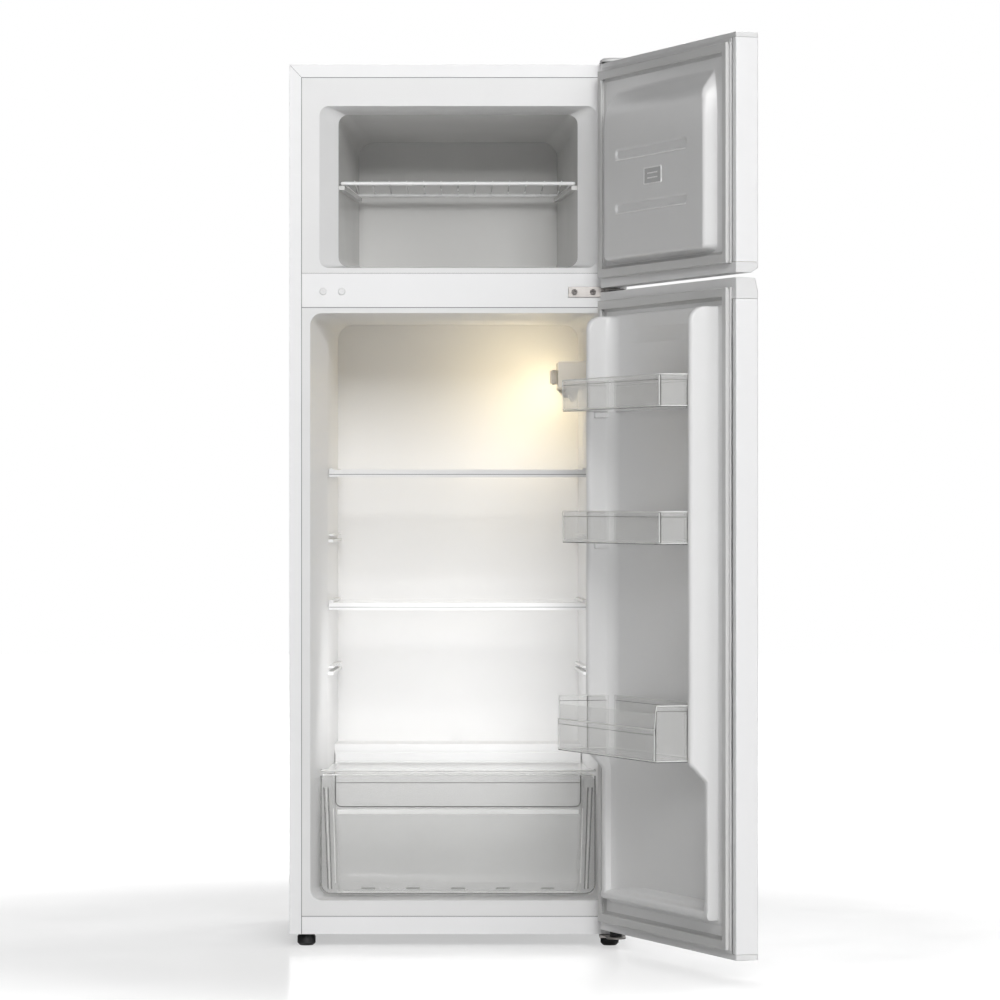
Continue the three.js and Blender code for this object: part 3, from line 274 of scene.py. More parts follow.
def make_materials():
    """Every finish under its own name; Blender may number the materials' names."""
    looks = {}

    def add(name, *settings, make=surface, **more):
        looks[name] = make(name, *settings, **more)

    add("white_steel", (0.88, 0.88, 0.885), 0.34, wave=(420, 0.02), mottle=0.006)
    add("galvanised", (0.62, 0.63, 0.64), 0.42, wave=(90, 0.02), metallic=1, mottle=0.12,
        mottle_scale=60)
    add("white_plastic", (0.8, 0.8, 0.8), 0.3, wave=(70, 0.05), mottle=0.008)
    # the freezer's white inside painted greyer: painted shade of the deep compartment
    add("freezer_lining", (0.7, 0.697, 0.685), 0.24, wave=(50, 0.05), mottle=0.008)
    add("grey_plastic", (0.55, 0.55, 0.55), 0.42, wave=(900, 0.02), mottle=0.03)
    add("warm_plastic", (0.74, 0.69, 0.6), 0.3, wave=(500, 0.05))
    add("warm_lens", (0.95, 0.9, 0.8), 0.28, wave=(500, 0.08), transmission=0.6)
    # near white: the emblem's own colour, and the painted highlight on the freezer door's bands
    add("emblem", (0.97, 0.97, 0.965), 0.5, wave=(500, 0.02))
    # near black: painted shade in the cabinet's joints and the shelves' grooves
    add("seam", (0.2, 0.2, 0.2), 0.6, wave=(600, 0.02), mottle=0.1)
    add("foam", (0.83, 0.74, 0.48), 0.8, wave=(260, 0.4), mottle=0.06, mottle_scale=25)
    add("gasket_rubber", (0.64, 0.64, 0.635), 0.5, wave=(600, 0.02))
    add("black_plastic", (0.02, 0.02, 0.021), 0.42, wave=(900, 0.03), mottle=0.1)
    add("black_steel", (0.025, 0.025, 0.027), 0.36, wave=(300, 0.05), mottle=0.1)
    add("zinc", (0.4, 0.38, 0.365), 0.36, wave=(500, 0.02), metallic=1, mottle=0.08, mottle_scale=90)
    add("screw_steel", (0.16, 0.15, 0.145), 0.4, wave=(500, 0.03), metallic=0.7, mottle=0.1)
    add("white_wire", (0.84, 0.84, 0.84), 0.28, wave=(350, 0.03), mottle=0.01)
    add("aluminium", (0.8, 0.8, 0.81), 0.32, wave=(200, 0.02), metallic=1, grain=(1, 12, 1),
        mottle=0.04)
    add("copper", (0.72, 0.38, 0.22), 0.3, wave=(300, 0.02), metallic=1, mottle=0.1, mottle_scale=40)
    # painted highlight and painted shade: bright and dark lines for the edges of clear plastic
    add("clear_rim", (0.97, 0.97, 0.96), 0.12, wave=(60, 0.01), mottle=0.01, alpha=0.9)
    add("clear_edge", (0.1, 0.1, 0.095), 0.2, wave=(60, 0.01), mottle=0.05, alpha=0.82)
    add("clear_plastic", (0.92, 0.92, 0.905), 0.1, 0.22, 0.66, wave=(30, 0.02), make=clear_sheet)
    add("clear_glass", (0.93, 0.94, 0.925), 0.05, 0.06, 0.6, wave=(6, 0.01), make=clear_sheet)
    return looks


# ---------------------------------------------------------------- pieces
def mesh_of(node):
    """A CAD node's shape with its triangles joined into whole faces."""
    shape = bmesh.new()
    shape.from_mesh(NODES[node].data)
    bmesh.ops.remove_doubles(shape, verts=shape.verts, dist=2e-6)
    bmesh.ops.dissolve_limit(shape, angle_limit=math.radians(0.3), verts=shape.verts, edges=shape.edges,
                             use_dissolve_boundaries=False)
    return shape


def soften(shape, width, corner=28.0, segments=3):
    """Rounds every edge that turns more than corner degrees."""
    edges = [e for e in shape.edges
             if len(e.link_faces) == 2 and e.calc_face_angle(0) > math.radians(corner)]
    bmesh.ops.bevel(shape, geom=edges, offset=width * MM, offset_type="OFFSET", segments=segments,
                    profile=0.5, affect="EDGES", clamp_overlap=True)


def even_shading(piece):
    """Keeps broad faces flat, so that only the rounded edges between them bend the light."""
    normals = piece.modifiers.new("even shading", "WEIGHTED_NORMAL")
    normals.keep_sharp = True
    normals.weight = 80


def piece_from(shape, name, body, look, smooth=32.0, place=None, finish=None):
    """Turns a bmesh into an object that rides on the body, smooth except across sharp edges."""
    if place:
        bmesh.ops.transform(shape, matrix=place, verts=shape.verts)
    bmesh.ops.recalc_face_normals(shape, faces=shape.faces)
    for face in shape.faces:
        face.smooth = True
    for edge in shape.edges:
        edge.smooth = len(edge.link_faces) != 2 or edge.calc_face_angle(0) < math.radians(smooth)
    mesh = bpy.data.meshes.new(name)
    shape.to_mesh(mesh)
    shape.free()
    mesh.materials.append(LOOKS[finish or look])
    piece = bpy.data.objects.new(name, mesh)
    bpy.context.scene.collection.objects.link(piece)
    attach(piece, body)
    even_shading(piece)
    return piece


def white_mouth(piece):
    """The freezer liner's rim and funnel are as white as the front; its inside is painted greyer, as painted shade
    of the deep compartment.
    """
    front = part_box("cabinet_shell")[0].y
    piece.data.materials.append(LOOKS["white_plastic"])
    for face in piece.data.polygons:
        if face.center.y < front + MOUTH_DEPTH * MM:
            face.material_index = 1


def softened_piece(node, width, look):
    """A CAD node with rounded edges and its finished material."""
    shape = mesh_of(node)
    soften(shape, width)
    piece = piece_from(shape, node + "_finished", BODY_OF[node], look, finish=FINISH_OF.get(node))
    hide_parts(node)
    if node == "freezer_liner":
        white_mouth(piece)


# ---------------------------------------------------------------- lines and surfaces, in millimetres
def unit_fillet(a, b, c, radius, steps):
    """Points of the arc that rounds corner b between a and c."""
    to_a, to_c = a - b, c - b
    half = to_a.angle(to_c) / 2
    reach = min(radius / math.tan(half), 0.49 * to_a.length, 0.49 * to_c.length)
    radius = reach * math.tan(half)
    middle = b + (to_a.normalized() + to_c.normalized()).normalized() * (radius / math.sin(half))
    start = b + to_a.normalized() * reach - middle
    end = b + to_c.normalized() * reach - middle
    sweep = start.angle(end)
    turns = [sweep * k / steps for k in range(steps + 1)]
    return [middle + (start * math.sin(sweep - t) + end * math.sin(t)) / math.sin(sweep) for t in turns]


def rounded(points, radii, steps=5):
    """An open 2-D line whose inner corners are rounded."""
    corners = [Vector(p) for p in points]
    line = [corners[0]]
    for i, radius in enumerate(radii, 1):
        line += unit_fillet(*corners[i - 1:i + 2], radius, steps) if radius else [corners[i]]
    return line + [corners[-1]]


def rounded_ring(points, radii, steps=5):
    """A closed 2-D outline whose corners are rounded."""
    corners = [Vector(p) for p in points]
    count = len(corners)
    ring = []
    for i, radius in enumerate(radii):
        around = (corners[i - 1], corners[i], corners[(i + 1) % count])
        ring += unit_fillet(*around, radius, steps) if radius else [corners[i]]
    return ring


def height_at(line, z):
    """The second coordinate of a line at z, for a line that runs in one direction of its first."""
    for p, q in zip(line, line[1:]):
        if p.x <= z <= q.x:
            return p.y if q.x - p.x < 1e-6 else p.y + (q.y - p.y) * (z - p.x) / (q.x - p.x)
    return line[0].y if z < line[0].x else line[-1].y


def spread(marks, steps):
    """Values from the first mark to the last, in even steps of about the given size between neighbours."""
    values = [marks[0]]
    for start, end, step in zip(marks, marks[1:], steps):
        count = max(1, round((end - start) / step))
        values += [start + (end - start) * k / count for k in range(1, count + 1)]
    return values


def web(rows, closed_rows=False, closed_across=False, caps=False):
    """A surface through rows of 3-D points in millimetres, with the same number of points in each."""
    shape = bmesh.new()
    grid = [[shape.verts.new(Vector(p) * MM) for p in row] for row in rows]
    pairs = list(zip(grid, grid[1:])) + ([(grid[-1], grid[0])] if closed_rows else [])
    for near, far in pairs:
        count = len(near)
        for i in range(count if closed_across else count - 1):
            k = (i + 1) % count
            shape.faces.new((near[i], near[k], far[k], far[i]))
    if caps:
        shape.faces.new(list(reversed(grid[0])))
        shape.faces.new(grid[-1])
    return shape


def merge(shapes):
    """Several bmeshes as one."""
    whole = bmesh.new()
    for shape in shapes:
        mesh = bpy.data.meshes.new("part")
        shape.to_mesh(mesh)
        shape.free()
        whole.from_mesh(mesh)
        bpy.data.meshes.remove(mesh)
    return whole


def block(low, high, radius, segments=3):
    """A box between two corners with rounded edges."""
    shape = bmesh.new()
    bmesh.ops.create_cube(shape, size=1)
    size = Vector(high) - Vector(low)
    middle = (Vector(high) + Vector(low)) / 2
    for vertex in shape.verts:
        vertex.co = Vector([middle[k] + vertex.co[k] * size[k] for k in range(3)]) * MM
    bmesh.ops.bevel(shape, geom=shape.edges[:], offset=radius * MM, offset_type="OFFSET", segments=segments,
                    profile=0.5, affect="EDGES", clamp_overlap=True)
    return shape


def bead(points, radius, up, closed=False, sides=6):
    """A thin round bead along a line of points; up is square to the line's plane."""
    rows, count = [], len(points)
    for i, point in enumerate(points):
        before = points[i - 1] if closed or i else point
        after = points[(i + 1) % count] if closed or i + 1 < count else point
        along = (Vector(after) - Vector(before)).normalized()
        side = along.cross(Vector(up)).normalized()
        other = side.cross(along)
        turns = [2 * math.pi * k / sides for k in range(sides)]
        rows.append([Vector(point) + (side * math.cos(t) + other * math.sin(t)) * radius for t in turns])
    return web(rows, closed_rows=closed, closed_across=True, caps=not closed)


def thicken(piece, depth):
    """Gives a sheet its thickness, on the side its normals point away from."""
    solid = piece.modifiers.new("thickness", "SOLIDIFY")
    solid.thickness = depth * MM
    solid.offset = -1
    solid.use_even_offset = True
    piece.modifiers.move(len(piece.modifiers) - 1, 0)


# ---------------------------------------------------------------- doors, built closed and swung open
HINGE = next(j for j in frame["joints"] if j["name"] == "fridge_door_hinge")
PIN = Vector(HINGE["pos_m"])
SWING = (Matrix.Translation(PIN) @ Matrix.Rotation(math.radians(-HINGE["range_deg"][0]), 4, "Z")
         @ Matrix.Translation(-PIN))


def closed_box(node):
    """Lowest and highest corner of a door's node with the door closed, in millimetres."""
    back = SWING.inverted()
    points = [back @ v.co / MM for v in NODES[node].data.vertices]
    return (Vector([min(p[k] for p in points) for k in range(3)]),
            Vector([max(p[k] for p in points) for k in range(3)]))


DOOR_IN = closed_box("fridge_door_pan")[1].y   # the inner face of both doors' pans
LINER = 2.0                                    # thickness of the doors' liners


def mirrored(line):
    """A line given for the right half, from the middle out, continued over the left half."""
    return [Vector((-p.x, p.y)) for p in reversed(line)] + line


def fridge_door_liner():
    """Two tall ribs with soft feet, joined at the bottom by a low rail, round a sunken pocket."""
    low, high = closed_box("fridge_door_liner")
    field, tall, short, sunk = 2.2, 48.0, 20.0, -6.0     # heights over the door's inner face
    rib_in, rib_out, border = 199.5, 214.0, 223.6        # distances from the middle
    field_low, field_high = 79.0, 1017.5
    foot_z, rail_z, step_z, top_z = 88.0, 97.0, 296.0, 1013.0
    pocket_high, pocket_end = 970.0, 994.0
    rib = rounded([(0, 0), (rib_in, 0), (rib_in + 2.1, tall), (rib_out - 2, tall), (rib_out, 0),
                   (rib_out + 10, 0)], [24, 5, 5, 4], 7)
    rib_rise = rounded([(low.z, 0), (foot_z - 1.5, 0), (foot_z, short), (step_z, short), (step_z + 27, tall),
                        (top_z - 0.6, tall), (top_z, 0), (high.z, 0)], [0, 6, 16, 12, 20, 0], 7)
    rail = rounded([(low.z, 0), (foot_z - 1.5, 0), (foot_z, short), (rail_z, short), (rail_z + 3, 0),
                    (high.z, 0)], [3, 4.5, 4.5, 26], 7)
    pocket = rounded([(low.z, 0), (rail_z, 0), (rail_z + 3, 1), (pocket_high, 1), (pocket_end, 0),
                      (high.z, 0)], [0, 20, 16, 6], 6)
    base = rounded([(low.z, 0), (field_low, 0), (field_low + 3, field), (field_high - 2, field),
                    (field_high, 0), (high.z, 0)], [2, 2.5, 1.5, 1], 4)
    stations = sorted({round(p.x, 2) for line in (rib_rise, rail, pocket, base) for p in line})
    half_line = [Vector((x, 0)) for x in range(0, 151, 15)]
    half_line += [p for p in rib if 150 < p.x < rib_out + 4]
    half_line += rounded([(rib_out + 4, 0), (223.5, 0), (226, 0), (high.x, 0)], [0, 0])

    def dish(x):
        """The pocket's floor rises softly towards the hinge side."""
        return 11.0 * max(0.0, 1 - (rib_in - x) / 165) ** 2

    def ground_at(x, z):
        """The liner's height apart from the ribs."""
        foot, sink, floor = (height_at(line, z) for line in (rail, pocket, base))
        if abs(x) < rib_in:
            lowered = floor + (sunk - field + dish(x)) * sink
            return max(lowered, foot) if foot > 0.01 else lowered
        if abs(x) < rib_out - 0.5:
            return max(floor, foot)
        return floor if abs(x) < border else 0.0

    rows = []
    for z in stations:
        crest = height_at(rib_rise, z)
        row = []
        for p in mirrored(half_line):
            ground = ground_at(p.x, z)
            lift = ground + max(0.0, crest - ground) * p.y / tall
            row.append((p.x, DOOR_IN + lift, z))
        rows.append(row)
    shape = web(rows)
    bmesh.ops.remove_doubles(shape, verts=shape.verts, dist=1e-6)
    piece = piece_from(shape, "fridge_door_liner_skin", "fridge_door", "white_plastic", 60, SWING)
    thicken(piece, LINER)
    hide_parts("fridge_door_liner")
    bin_bosses()


def bin_bosses():
    """The small blocks on the ribs that the bins hang on."""
    inner, outer, tall, gap = 195, 202, 9.0, 0.3
    bosses = []
    for node in BINS:
        top = closed_box(node)[0].z - gap
        for side in (-1, 1):
            left, right = sorted((side * inner, side * outer))
            bosses.append(block((left, DOOR_IN + 10, top - tall), (right, DOOR_IN + 40, top), 1.6))
    piece_from(merge(bosses), "fridge_door_bosses", "fridge_door", "white_plastic", 32, SWING)


def freezer_door_liner():
    """A raised plateau with soft edges and two long sunken bands, each with a painted highlight: a near-white bead
    along its lower edge.
    """
    low, high = closed_box("freezer_door_liner")
    rise = high.y - DOOR_IN - 0.8                        # the plateau's height over the door's inner face
    foot_half, foot_low, foot_high = 205, 1101, 1372     # the foot of its flanks
    flank_side, flank_low, flank_high = 6, 4.5, 30       # how far in each flank reaches its top
    corner = 14.0
    band_left, band_right, band_depth, band_flank = -138, 153, 2.8, 3.4
    bands = ((1268.5, 9.2), (1183.5, 8.6))               # the height of each band's middle and half its width
    flank = rounded([(-3, 0), (0, 0), (1, 1), (4, 1)], [0.5, 0.9], 9)
    us = spread([0, 90, 128, 165, 190, 193, 206, 210, high.x], [30, 5, 1.6, 6, 1.5, 0.7, 2, 12])
    us = [-u for u in reversed(us[1:])] + us
    zs = spread([low.z, 1094, 1110, 1168, 1198, 1253, 1284, 1330, 1376, high.z],
                [6, 0.8, 12, 1.0, 12, 1.0, 12, 1.6, 8])

    def inset(u, z):
        """How far in from the plateau's foot a point is, in flank widths."""
        side = foot_half - abs(u)
        if z > 1250:
            end = (foot_high - z) * flank_side / flank_high
        else:
            end = (z - foot_low) * flank_side / flank_low
        if min(side, end) >= corner:
            return min(side, end) / flank_side
        return (corner - math.hypot(max(0, corner - side), max(0, corner - end))) / flank_side

    def sunk(u, z):
        """How deep the bands are at a point."""
        total = 0.0
        for middle, half in bands:
            along = max(band_left + half - u, u - band_right + half, 0)
            share = min(1.0, max(0.0, (half - math.hypot(along, z - middle)) / band_flank))
            total += band_depth * share * share * (3 - 2 * share)
        return total

    rows = [[(u, DOOR_IN + height_at(flank, inset(u, z)) * rise - sunk(u, z), z) for u in us] for z in zs]
    piece = piece_from(web(rows), "freezer_door_liner_skin", "freezer_door", "white_plastic", 60, SWING)
    thicken(piece, LINER)
    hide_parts("freezer_door_liner")
    top = DOOR_IN + rise + LINER
    # painted highlights: near-white beads along each band's lower edge
    highlight_beads = []
    for middle, half in bands:
        y, z = top - 0.2, middle - half
        highlight_beads.append(bead([(band_left + 4, y, z), (band_right - 4, y, z)], 1.1, TOWARDS))
    piece_from(merge(highlight_beads), "freezer_door_band_painted_highlights", "freezer_door", "white_plastic", 60, SWING,
               finish="emblem")
    door_emblem(top)


def door_emblem(top):
    """A plain framed plate with two bars, in place of the label between the bands."""
    x, z, half_x, half_z = -2, 1227, 34, 12.5
    root, bar_top, bar_half, side_half = top - 0.6, top + 0.75, 1.0, 1.5
    plate = block((x - half_x, top - 0.8, z - half_z), (x + half_x, top + 0.35, z + half_z), 0.3, 2)
    piece_from(plate, "freezer_door_emblem_plate", "freezer_door", "grey_plastic", 32, SWING)
    bars = []
    for share, reach in ((-1, half_x), (-0.3, half_x * 0.6), (0.3, half_x * 0.6), (1, half_x)):
        foot = z + half_z * share - bar_half
        bars.append(block((x - reach, root, foot), (x + reach, bar_top, foot + 2 * bar_half), 0.3, 2))
    for side in (-1, 1):
        left = x + side * half_x - side_half
        bars.append(block((left, root, z - half_z), (left + 2 * side_half, bar_top, z + half_z), 0.3, 2))
    piece_from(merge(bars), "freezer_door_emblem", "freezer_door", "white_plastic", 32, SWING,
               finish="emblem")


def gasket(node, body):
    """A magnetic seal: bead, groove and bulb, mitred round the door."""
    low, high = closed_box(node)
    top = high.y - DOOR_IN
    profile = rounded_ring(
        [(0, 0.3), (0, 3.4), (3.2, 4.2), (3.2, 5.6), (0.5, 6.4), (0.5, top), (14.5, top), (14.5, top - 2.6),
         (11.5, top - 4.4), (11.5, 4.2), (18.9, 2.6), (18.9, 0.3)],
        [0.2, 1.2, 0.6, 0.6, 1.0, 1.6, 1.6, 1.0, 0.8, 1.0, 0.8, 0.2], 3)
    corners = ((low.x, low.z, 1, 1), (high.x, low.z, -1, 1), (high.x, high.z, -1, -1), (low.x, high.z, 1, -1))
    rows = [[(x + sx * p.x, DOOR_IN + p.y, z + sz * p.x) for p in profile] for x, z, sx, sz in corners]
    shape = web(rows, closed_rows=True, closed_across=True)
    piece = piece_from(shape, node + "_seal", body, "gasket_rubber", 40, SWING)
    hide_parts(node)


def door_pan(node, body):
    """The painted skin, rolled round the door's side edges."""
    low, high = closed_box(node)
    lip = 13.0
    line = rounded([(low.x + lip, high.y), (low.x, high.y), (low.x, low.y), (high.x, low.y), (high.x, high.y),
                    (high.x - lip, high.y)], [2.2, 3.2, 3.2, 2.2], 6)
    rows = [[(p.x, p.y, z) for p in line] for z in (low.z, high.z)]
    piece = piece_from(web(rows), node + "_skin", body, "white_steel", 32, SWING)
    thicken(piece, 1.0)
    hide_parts(node)


def door_cap(node, body, levels):
    """An end cap whose sides follow the pan.

    levels run from bottom to top: height, how far the outer face leans in, how much the outline shrinks.
    """
    low, high = closed_box(node)
    rows = []
    for z, lean, shrink in levels:
        x0, x1, y0, y1 = low.x + shrink, high.x - shrink, low.y + lean + shrink, high.y - shrink
        ring = rounded_ring([(x0, y0), (x1, y0), (x1, y1), (x0, y1)], [3.2, 3.2, 2.2, 2.2], 6)
        rows.append([(p.x, p.y, z) for p in ring])
    shape = web(rows, closed_across=True, caps=True)
    piece = piece_from(shape, node + "_moulded", body, "white_plastic", 50, SWING)
    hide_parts(node)


def door_caps():
    low, high = closed_box("freezer_door_top_cap")
    door_cap("freezer_door_top_cap", "freezer_door",
             [(low.z, 0, 0.5), (low.z + 0.5, 0, 0),
              (high.z - 1.2, 0, 0), (high.z - 0.4, 0, 0.4), (high.z, 0, 1.2)])
    low, high = closed_box("freezer_door_grip_cap")
    door_cap("freezer_door_grip_cap", "freezer_door",
             [(low.z, 11, 1.2), (low.z + 0.4, 10.2, 0.4), (low.z + 7, 1.0, 0), (low.z + 8, 0, 0),
              (high.z - 0.5, 0, 0), (high.z, 0, 0.5)])
    low, high = closed_box("fridge_door_grip_cap")
    door_cap("fridge_door_grip_cap", "fridge_door",
             [(low.z, 0, 0.5), (low.z + 0.5, 0, 0), (low.z + 12, 0, 0), (low.z + 14, 0.6, 0),
              (high.z - 1.2, 4.6, 0), (high.z - 0.4, 5, 0.4), (high.z, 5, 1.2)])
    low, high = closed_box("fridge_door_bottom_cap")
    door_cap("fridge_door_bottom_cap", "fridge_door",
             [(low.z, 0, 1.2), (low.z + 0.4, 0, 0.4), (low.z + 1.2, 0, 0),
              (high.z - 0.5, 0, 0), (high.z, 0, 0.5)])


# ---------------------------------------------------------------- clear plastic
def vessel(outline, profile):
    """An open-topped container: rings from outline(inset, z) along a profile up its outside and down inside."""
    return web([outline(inset, z) for inset, z in profile], closed_across=True, caps=True)


def door_bin(node, body):
    """A clear bin with a thicker rim, narrower where it hangs between the ribs.

    The deep bin's side and back walls stand higher than its front wall.
    """
    low, high = closed_box(node)
    wall, rim, corner, front_wall = 2.2, 9.0, 9.0, 51.0
    narrow, wide = 198.0, high.x
    step = DOOR_IN + 48.8
    deep = high.z - low.z > 60
    front_top = low.z + front_wall if deep else high.z

    def top_at(y):
        share = min(1.0, max(0.0, (y - (high.y - 3.0)) / 0.6))
        return high.z + (front_top - high.z) * share

    def outline(inset, rise):
        """A ring of the bin's wall; a rise from 0 up is over the floor, and below 0 it is under the rim."""
        near, far, foot = low.y + inset, high.y - inset, step + inset
        half_narrow, half_wide = narrow - inset, wide - inset
        points = [(-half_narrow, near), (half_narrow, near), (half_narrow, foot), (half_wide, foot),
                  (half_wide, far), (-half_wide, far), (-half_wide, foot), (-half_narrow, foot)]
        radii = [max(0.6, 5 - inset), max(0.6, 5 - inset), 0, 0, corner - inset, corner - inset, 0, 0]
        ring = rounded_ring(points, radii, 9)
        return [(p.x, p.y, low.z + rise if rise >= 0 else top_at(p.y) + rise) for p in ring]

    profile = [(5, 0.01), (1.6, 0.3), (0.5, 1.4), (0.4, 3), (0.6, -rim - 0.8), (0.05, -rim), (0, -1.2),
               (0.5, -0.25), (1.2, -0.001), (2.2, -0.25), (2.8, -1.2), (2.8, -rim), (wall + 0.6, -rim - 0.8),
               (wall + 0.4, 4.2), (wall + 2.0, 2.5), (wall + 5, 2.2)]
    piece = piece_from(vessel(outline, profile), node + "_clear", body, "clear_plastic", 40, SWING)
    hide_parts(node)
    # painted highlights: bright beads round the rim, near the floor and up the corners
    bright = [bead(outline(0.9, -0.9), 0.85, UP, closed=True), bead(outline(0.8, 2.6), 0.7, UP, closed=True)]
    # painted shade: dark beads under the rim, round the floor and up the corners
    dark = [bead(outline(0.6, -rim), 0.5, UP, closed=True), bead(outline(0.8, 0.8), 0.5, UP, closed=True)]
    for side in (-1, 1):
        x, y = side * (wide - 5), high.y - 1.3
        bright.append(bead([(x, y, low.z + 4), (x, y, front_top - 3)], 0.8, TOWARDS))
        for x, y in ((wide - 2.6, high.y - 2.6), (wide - 0.8, step + 0.8), (narrow - 1.6, low.y + 1.6)):
            dark.append(bead([(side * x, y, low.z + 2.5), (side * x, y, top_at(y) - 1.5)], 0.5, TOWARDS))
    piece_from(merge(bright), node + "_rim", body, "clear_plastic", 60, SWING, finish="clear_rim")
    piece_from(merge(dark), node + "_edges", body, "clear_plastic", 60, SWING, finish="clear_edge")


def crisper_details():
    """Painted lines on the clear crisper: dark lines of painted shade along its grip panel, rim, outline and
    corners and as the tabs on its floor; bright lines and strips of painted highlight along its top edge, below
    its grip panel, along its floor and at its corners.
    """
    low, high = (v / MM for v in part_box("crisper_drawer"))
    body = BODY_OF["crisper_drawer"]
    face, half = low.y, high.x
    grip_half, grip_low, rim_z = 199.0, 224.0, high.z - 14
    strip_half = grip_half - 3
    tabs, tab_pitch, tab_half = 5, 73.0, 11

    def line(points, radius):
        """A bead on the drawer's front through points given as x, distance behind the face, z."""
        return bead([(x, face + back, z) for x, back, z in points], radius, TOWARDS)

    grip = rounded([(-grip_half, high.z - 2), (-grip_half, grip_low), (grip_half, grip_low),
                    (grip_half, high.z - 2)], [10, 10], 6)
    panel = rounded([(-half + 1, high.z - 3), (-half + 1, low.z + 1), (half - 1, low.z + 1),
                     (half - 1, high.z - 3)], [16, 16], 8)
    dark = [line([(p.x, 0.6, p.y) for p in grip], 0.75),
            line([(-grip_half, 0.6, rim_z), (grip_half, 0.6, rim_z)], 0.6),
            line([(p.x, 2.6, p.y) for p in panel], 0.9)]
    bright = [line([(-half + 4, 1.4, high.z - 1.6), (half - 4, 1.4, high.z - 1.6)], 1.2),
              block((-strip_half, face + 1.4, grip_low - 12), (strip_half, face + 2.0, grip_low - 4.5), 0.25, 2),
              block((-strip_half, face + 4, low.z + 1.2), (strip_half, face + 12, low.z + 4), 0.6, 2)]
    for side in (-1, 1):
        dark.append(line([(side * 218, 3.2, high.z - 22), (side * 211, 3.2, low.z + 8)], 1.0))
        dark.append(line([(side * 211, 3.2, high.z - 22), (side * 205.5, 3.2, low.z + 8)], 1.0))
        bright.append(line([(side * 214.5, 3, high.z - 22), (side * 208.2, 3, low.z + 8)], 0.9))
        bright.append(line([(side * 202.5, 4, high.z - 56), (side * 199, 4, low.z + 18)], 0.8))
    for k in range(tabs):
        left = (k - (tabs - 1) / 2) * tab_pitch - tab_half
        right = left + 2 * tab_half
        dark.append(block((left, face + 6, low.z + 7.5), (right, face + 16, low.z + 10), 0.4, 2))
    piece_from(merge(dark), "crisper_edges", body, "clear_plastic", 60, finish="clear_edge")
    piece_from(merge(bright), "crisper_rim", body, "clear_plastic", 60, finish="clear_rim")


def cover_edges():
    """A painted highlight along the front edge of the crisper's glass cover, and painted shade as dark lines along
    the sides of its front corners.
    """
    low, high = (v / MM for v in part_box("crisper_cover_glass"))
    body = BODY_OF["crisper_cover_glass"]
    half, reach = high.x, 120
    y, z = low.y + 1.4, high.z - 1.6
    front = bead([(-half + 1, y, z), (half - 1, y, z)], 1.4, TOWARDS)
    piece_from(front, "crisper_cover_painted_highlight", body, "clear_glass", 60, finish="clear_rim")
    sides = [bead([(x, low.y + 2, high.z - 1.0), (x, low.y + reach, high.z - 1.0)], 0.9, UP)
             for x in (1.2 - half, half - 1.2)]
    piece_from(merge(sides), "crisper_cover_painted_shade", body, "clear_glass", 60, finish="clear_edge")


def shelf_grooves():
    """A thin dark strip of painted shade for the fine groove along the front of each shelf's trim."""
    for node in ("upper_shelf_trim", "lower_shelf_trim"):
        low, high = (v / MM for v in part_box(node))
        z = high.z - 0.62 * (high.z - low.z)
        groove = block((low.x + 1, low.y - 0.03, z - 0.5), (high.x - 1, low.y + 0.5, z + 0.5), 0.02, 1)
        piece_from(groove, node + "_groove", BODY_OF[node], "grey_plastic", 32, finish="seam")


# ---------------------------------------------------------------- freezer's wire shelf
def rod_shape(start, end, radius, sides=14):
    """A straight round bar with domed ends."""
    axis = (Vector(end) - Vector(start)).normalized()
    side = axis.orthogonal().normalized()
    other = axis.cross(side)
    length = (Vector(end) - Vector(start)).length
    stations = [(0, 0.35), (0.25, 0.8), (0.6, 1)]
    stations += [(length / radius - d, s) for d, s in reversed(stations)]
    turns = [2 * math.pi * k / sides for k in range(sides)]
    rows = []
    for along, share in stations:
        middle = Vector(start) + axis * along * radius
        rows.append([middle + (side * math.cos(t) + other * math.sin(t)) * radius * share for t in turns])
    return web(rows, closed_across=True, caps=True)


def wire_shelf():
    """Two cross bars, two side bars and the fine wires laid over them."""
    low, high = (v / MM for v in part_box("freezer_wire_shelf"))
    frame_radius, wire_radius, wires, pitch = 3.0, 1.15, 13, 28.0
    z = low.z + frame_radius
    back_half = 172.5
    front_half = high.x - frame_radius
    y0, y1 = low.y + 2 + frame_radius, high.y - 2 - frame_radius
    bars = [rod_shape((-front_half, y0, z), (front_half, y0, z), frame_radius),
            rod_shape((-back_half, y1, z), (back_half, y1, z), frame_radius)]
    for side in (-1, 1):
        bars.append(rod_shape((side * front_half, y0 - 2, z), (side * back_half, y1 + 2, z), frame_radius))
    for i in range(wires):
        x = (i - (wires - 1) / 2) * pitch
        top = high.z - wire_radius
        bars.append(rod_shape((x, low.y + 1, top), (x, high.y - 1, top), wire_radius, 10))
    piece = piece_from(merge(bars), "freezer_wire_shelf_bars", "wire_shelf", "white_wire", 50)
    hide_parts("freezer_wire_shelf")


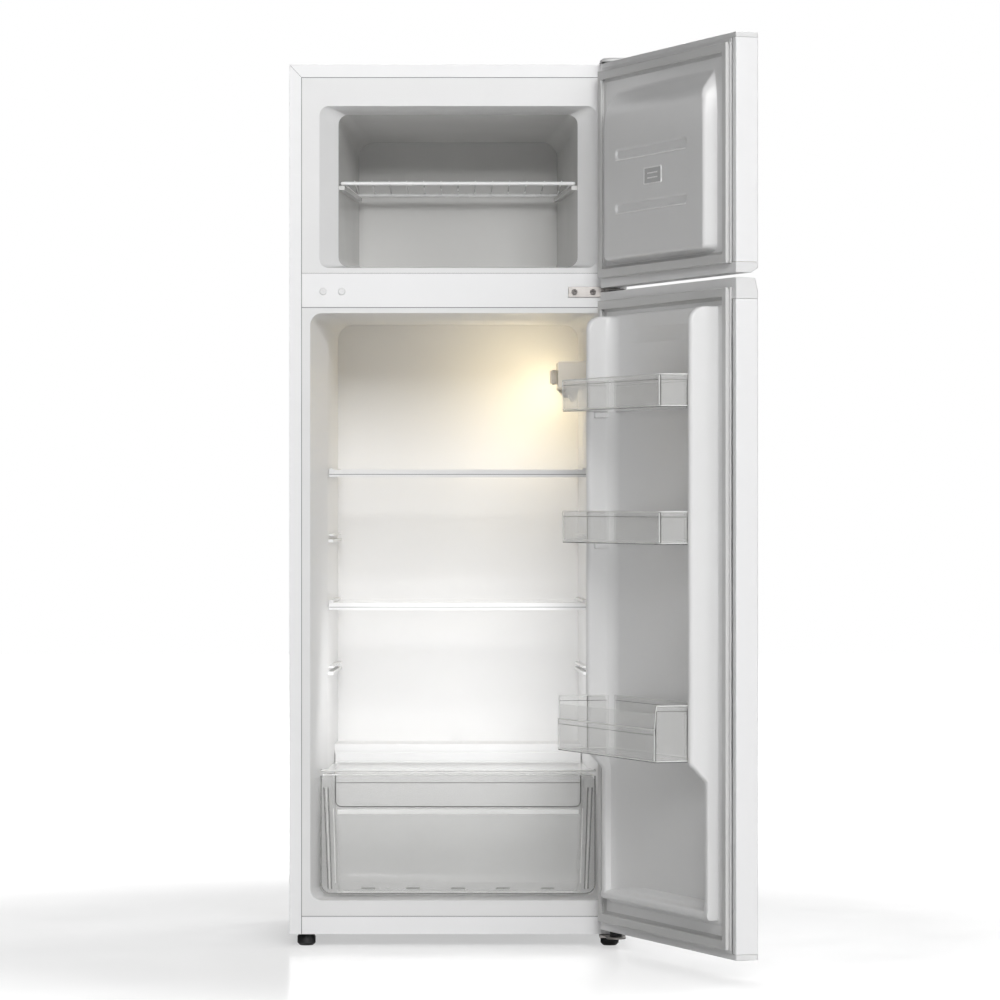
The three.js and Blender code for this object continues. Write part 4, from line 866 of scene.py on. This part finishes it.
def cabinet_seam_shade():
    """Painted shade in the gaps: thin dark strips on the joints between the steel frame, the liners, the crossbar
    and the base beam, and along the mitres.
    """
    outer_low, outer = (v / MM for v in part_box("cabinet_shell"))
    bar_low, bar_high = (v.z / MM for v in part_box("center_crossbar"))
    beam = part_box("front_base_beam")[1] / MM
    front, inner_x = outer_low.y, beam.x
    inner_z = outer.z - (outer.x - inner_x) - 1.0
    half, proud, deep = SEAM["width"] / 2, SEAM["proud"], SEAM["depth"]
    top, root = front - proud, front + deep
    parts = []
    for side in (-1, 1):
        x = side * (inner_x + 0.15)
        parts.append(block((x - half, top, outer_low.z + 1), (x + half, root, inner_z), 0.02, 1))
    for z, share in ((inner_z, 1.0), (bar_high + 0.15, 0.6), (bar_low - 0.15, 1.1), (beam.z + 0.15, 1.0)):
        thin = half * share
        parts.append(block((-inner_x, top, z - thin), (inner_x, root, z + thin), 0.02, 1))
    for side in (-1, 1):
        reach = Vector((outer.x - 1.5 - inner_x, 0, outer.z - 1.5 - inner_z))
        mitre = block((0, -proud, -half * 0.5), (reach.length, deep, half * 0.5), 0.02, 1)
        turn = Matrix.Rotation(-math.atan2(reach.z, side * reach.x), 3, "Y")
        bmesh.ops.rotate(mitre, cent=(0, 0, 0), matrix=turn, verts=mitre.verts)
        bmesh.ops.translate(mitre, vec=Vector((side * inner_x, front, inner_z)) * MM, verts=mitre.verts)
        parts.append(mitre)
    piece_from(merge(parts), "cabinet_seam_shade", "cabinet", "grey_plastic", 32, finish="seam")


LOOKS = make_materials()
make_camera()
make_world()
make_lights()
make_floor()

fridge_door_liner()
freezer_door_liner()
for name in ("freezer_door", "fridge_door"):
    gasket(name + "_gasket", name)
    door_pan(name + "_pan", name)
door_caps()
for node in BINS:
    door_bin(node, BODY_OF[node])
wire_shelf()
cabinet_seam_shade()
crisper_details()
cover_edges()
shelf_grooves()

for node in NODES:
    if not NODES[node].hide_render:
        softened_piece(node, EDGE_WIDTHS.get(node, EDGE_WIDTH), NODES[node].data.materials[0].name)

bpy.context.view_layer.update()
scene = bpy.context.scene
scene.view_settings.view_transform = "Standard"
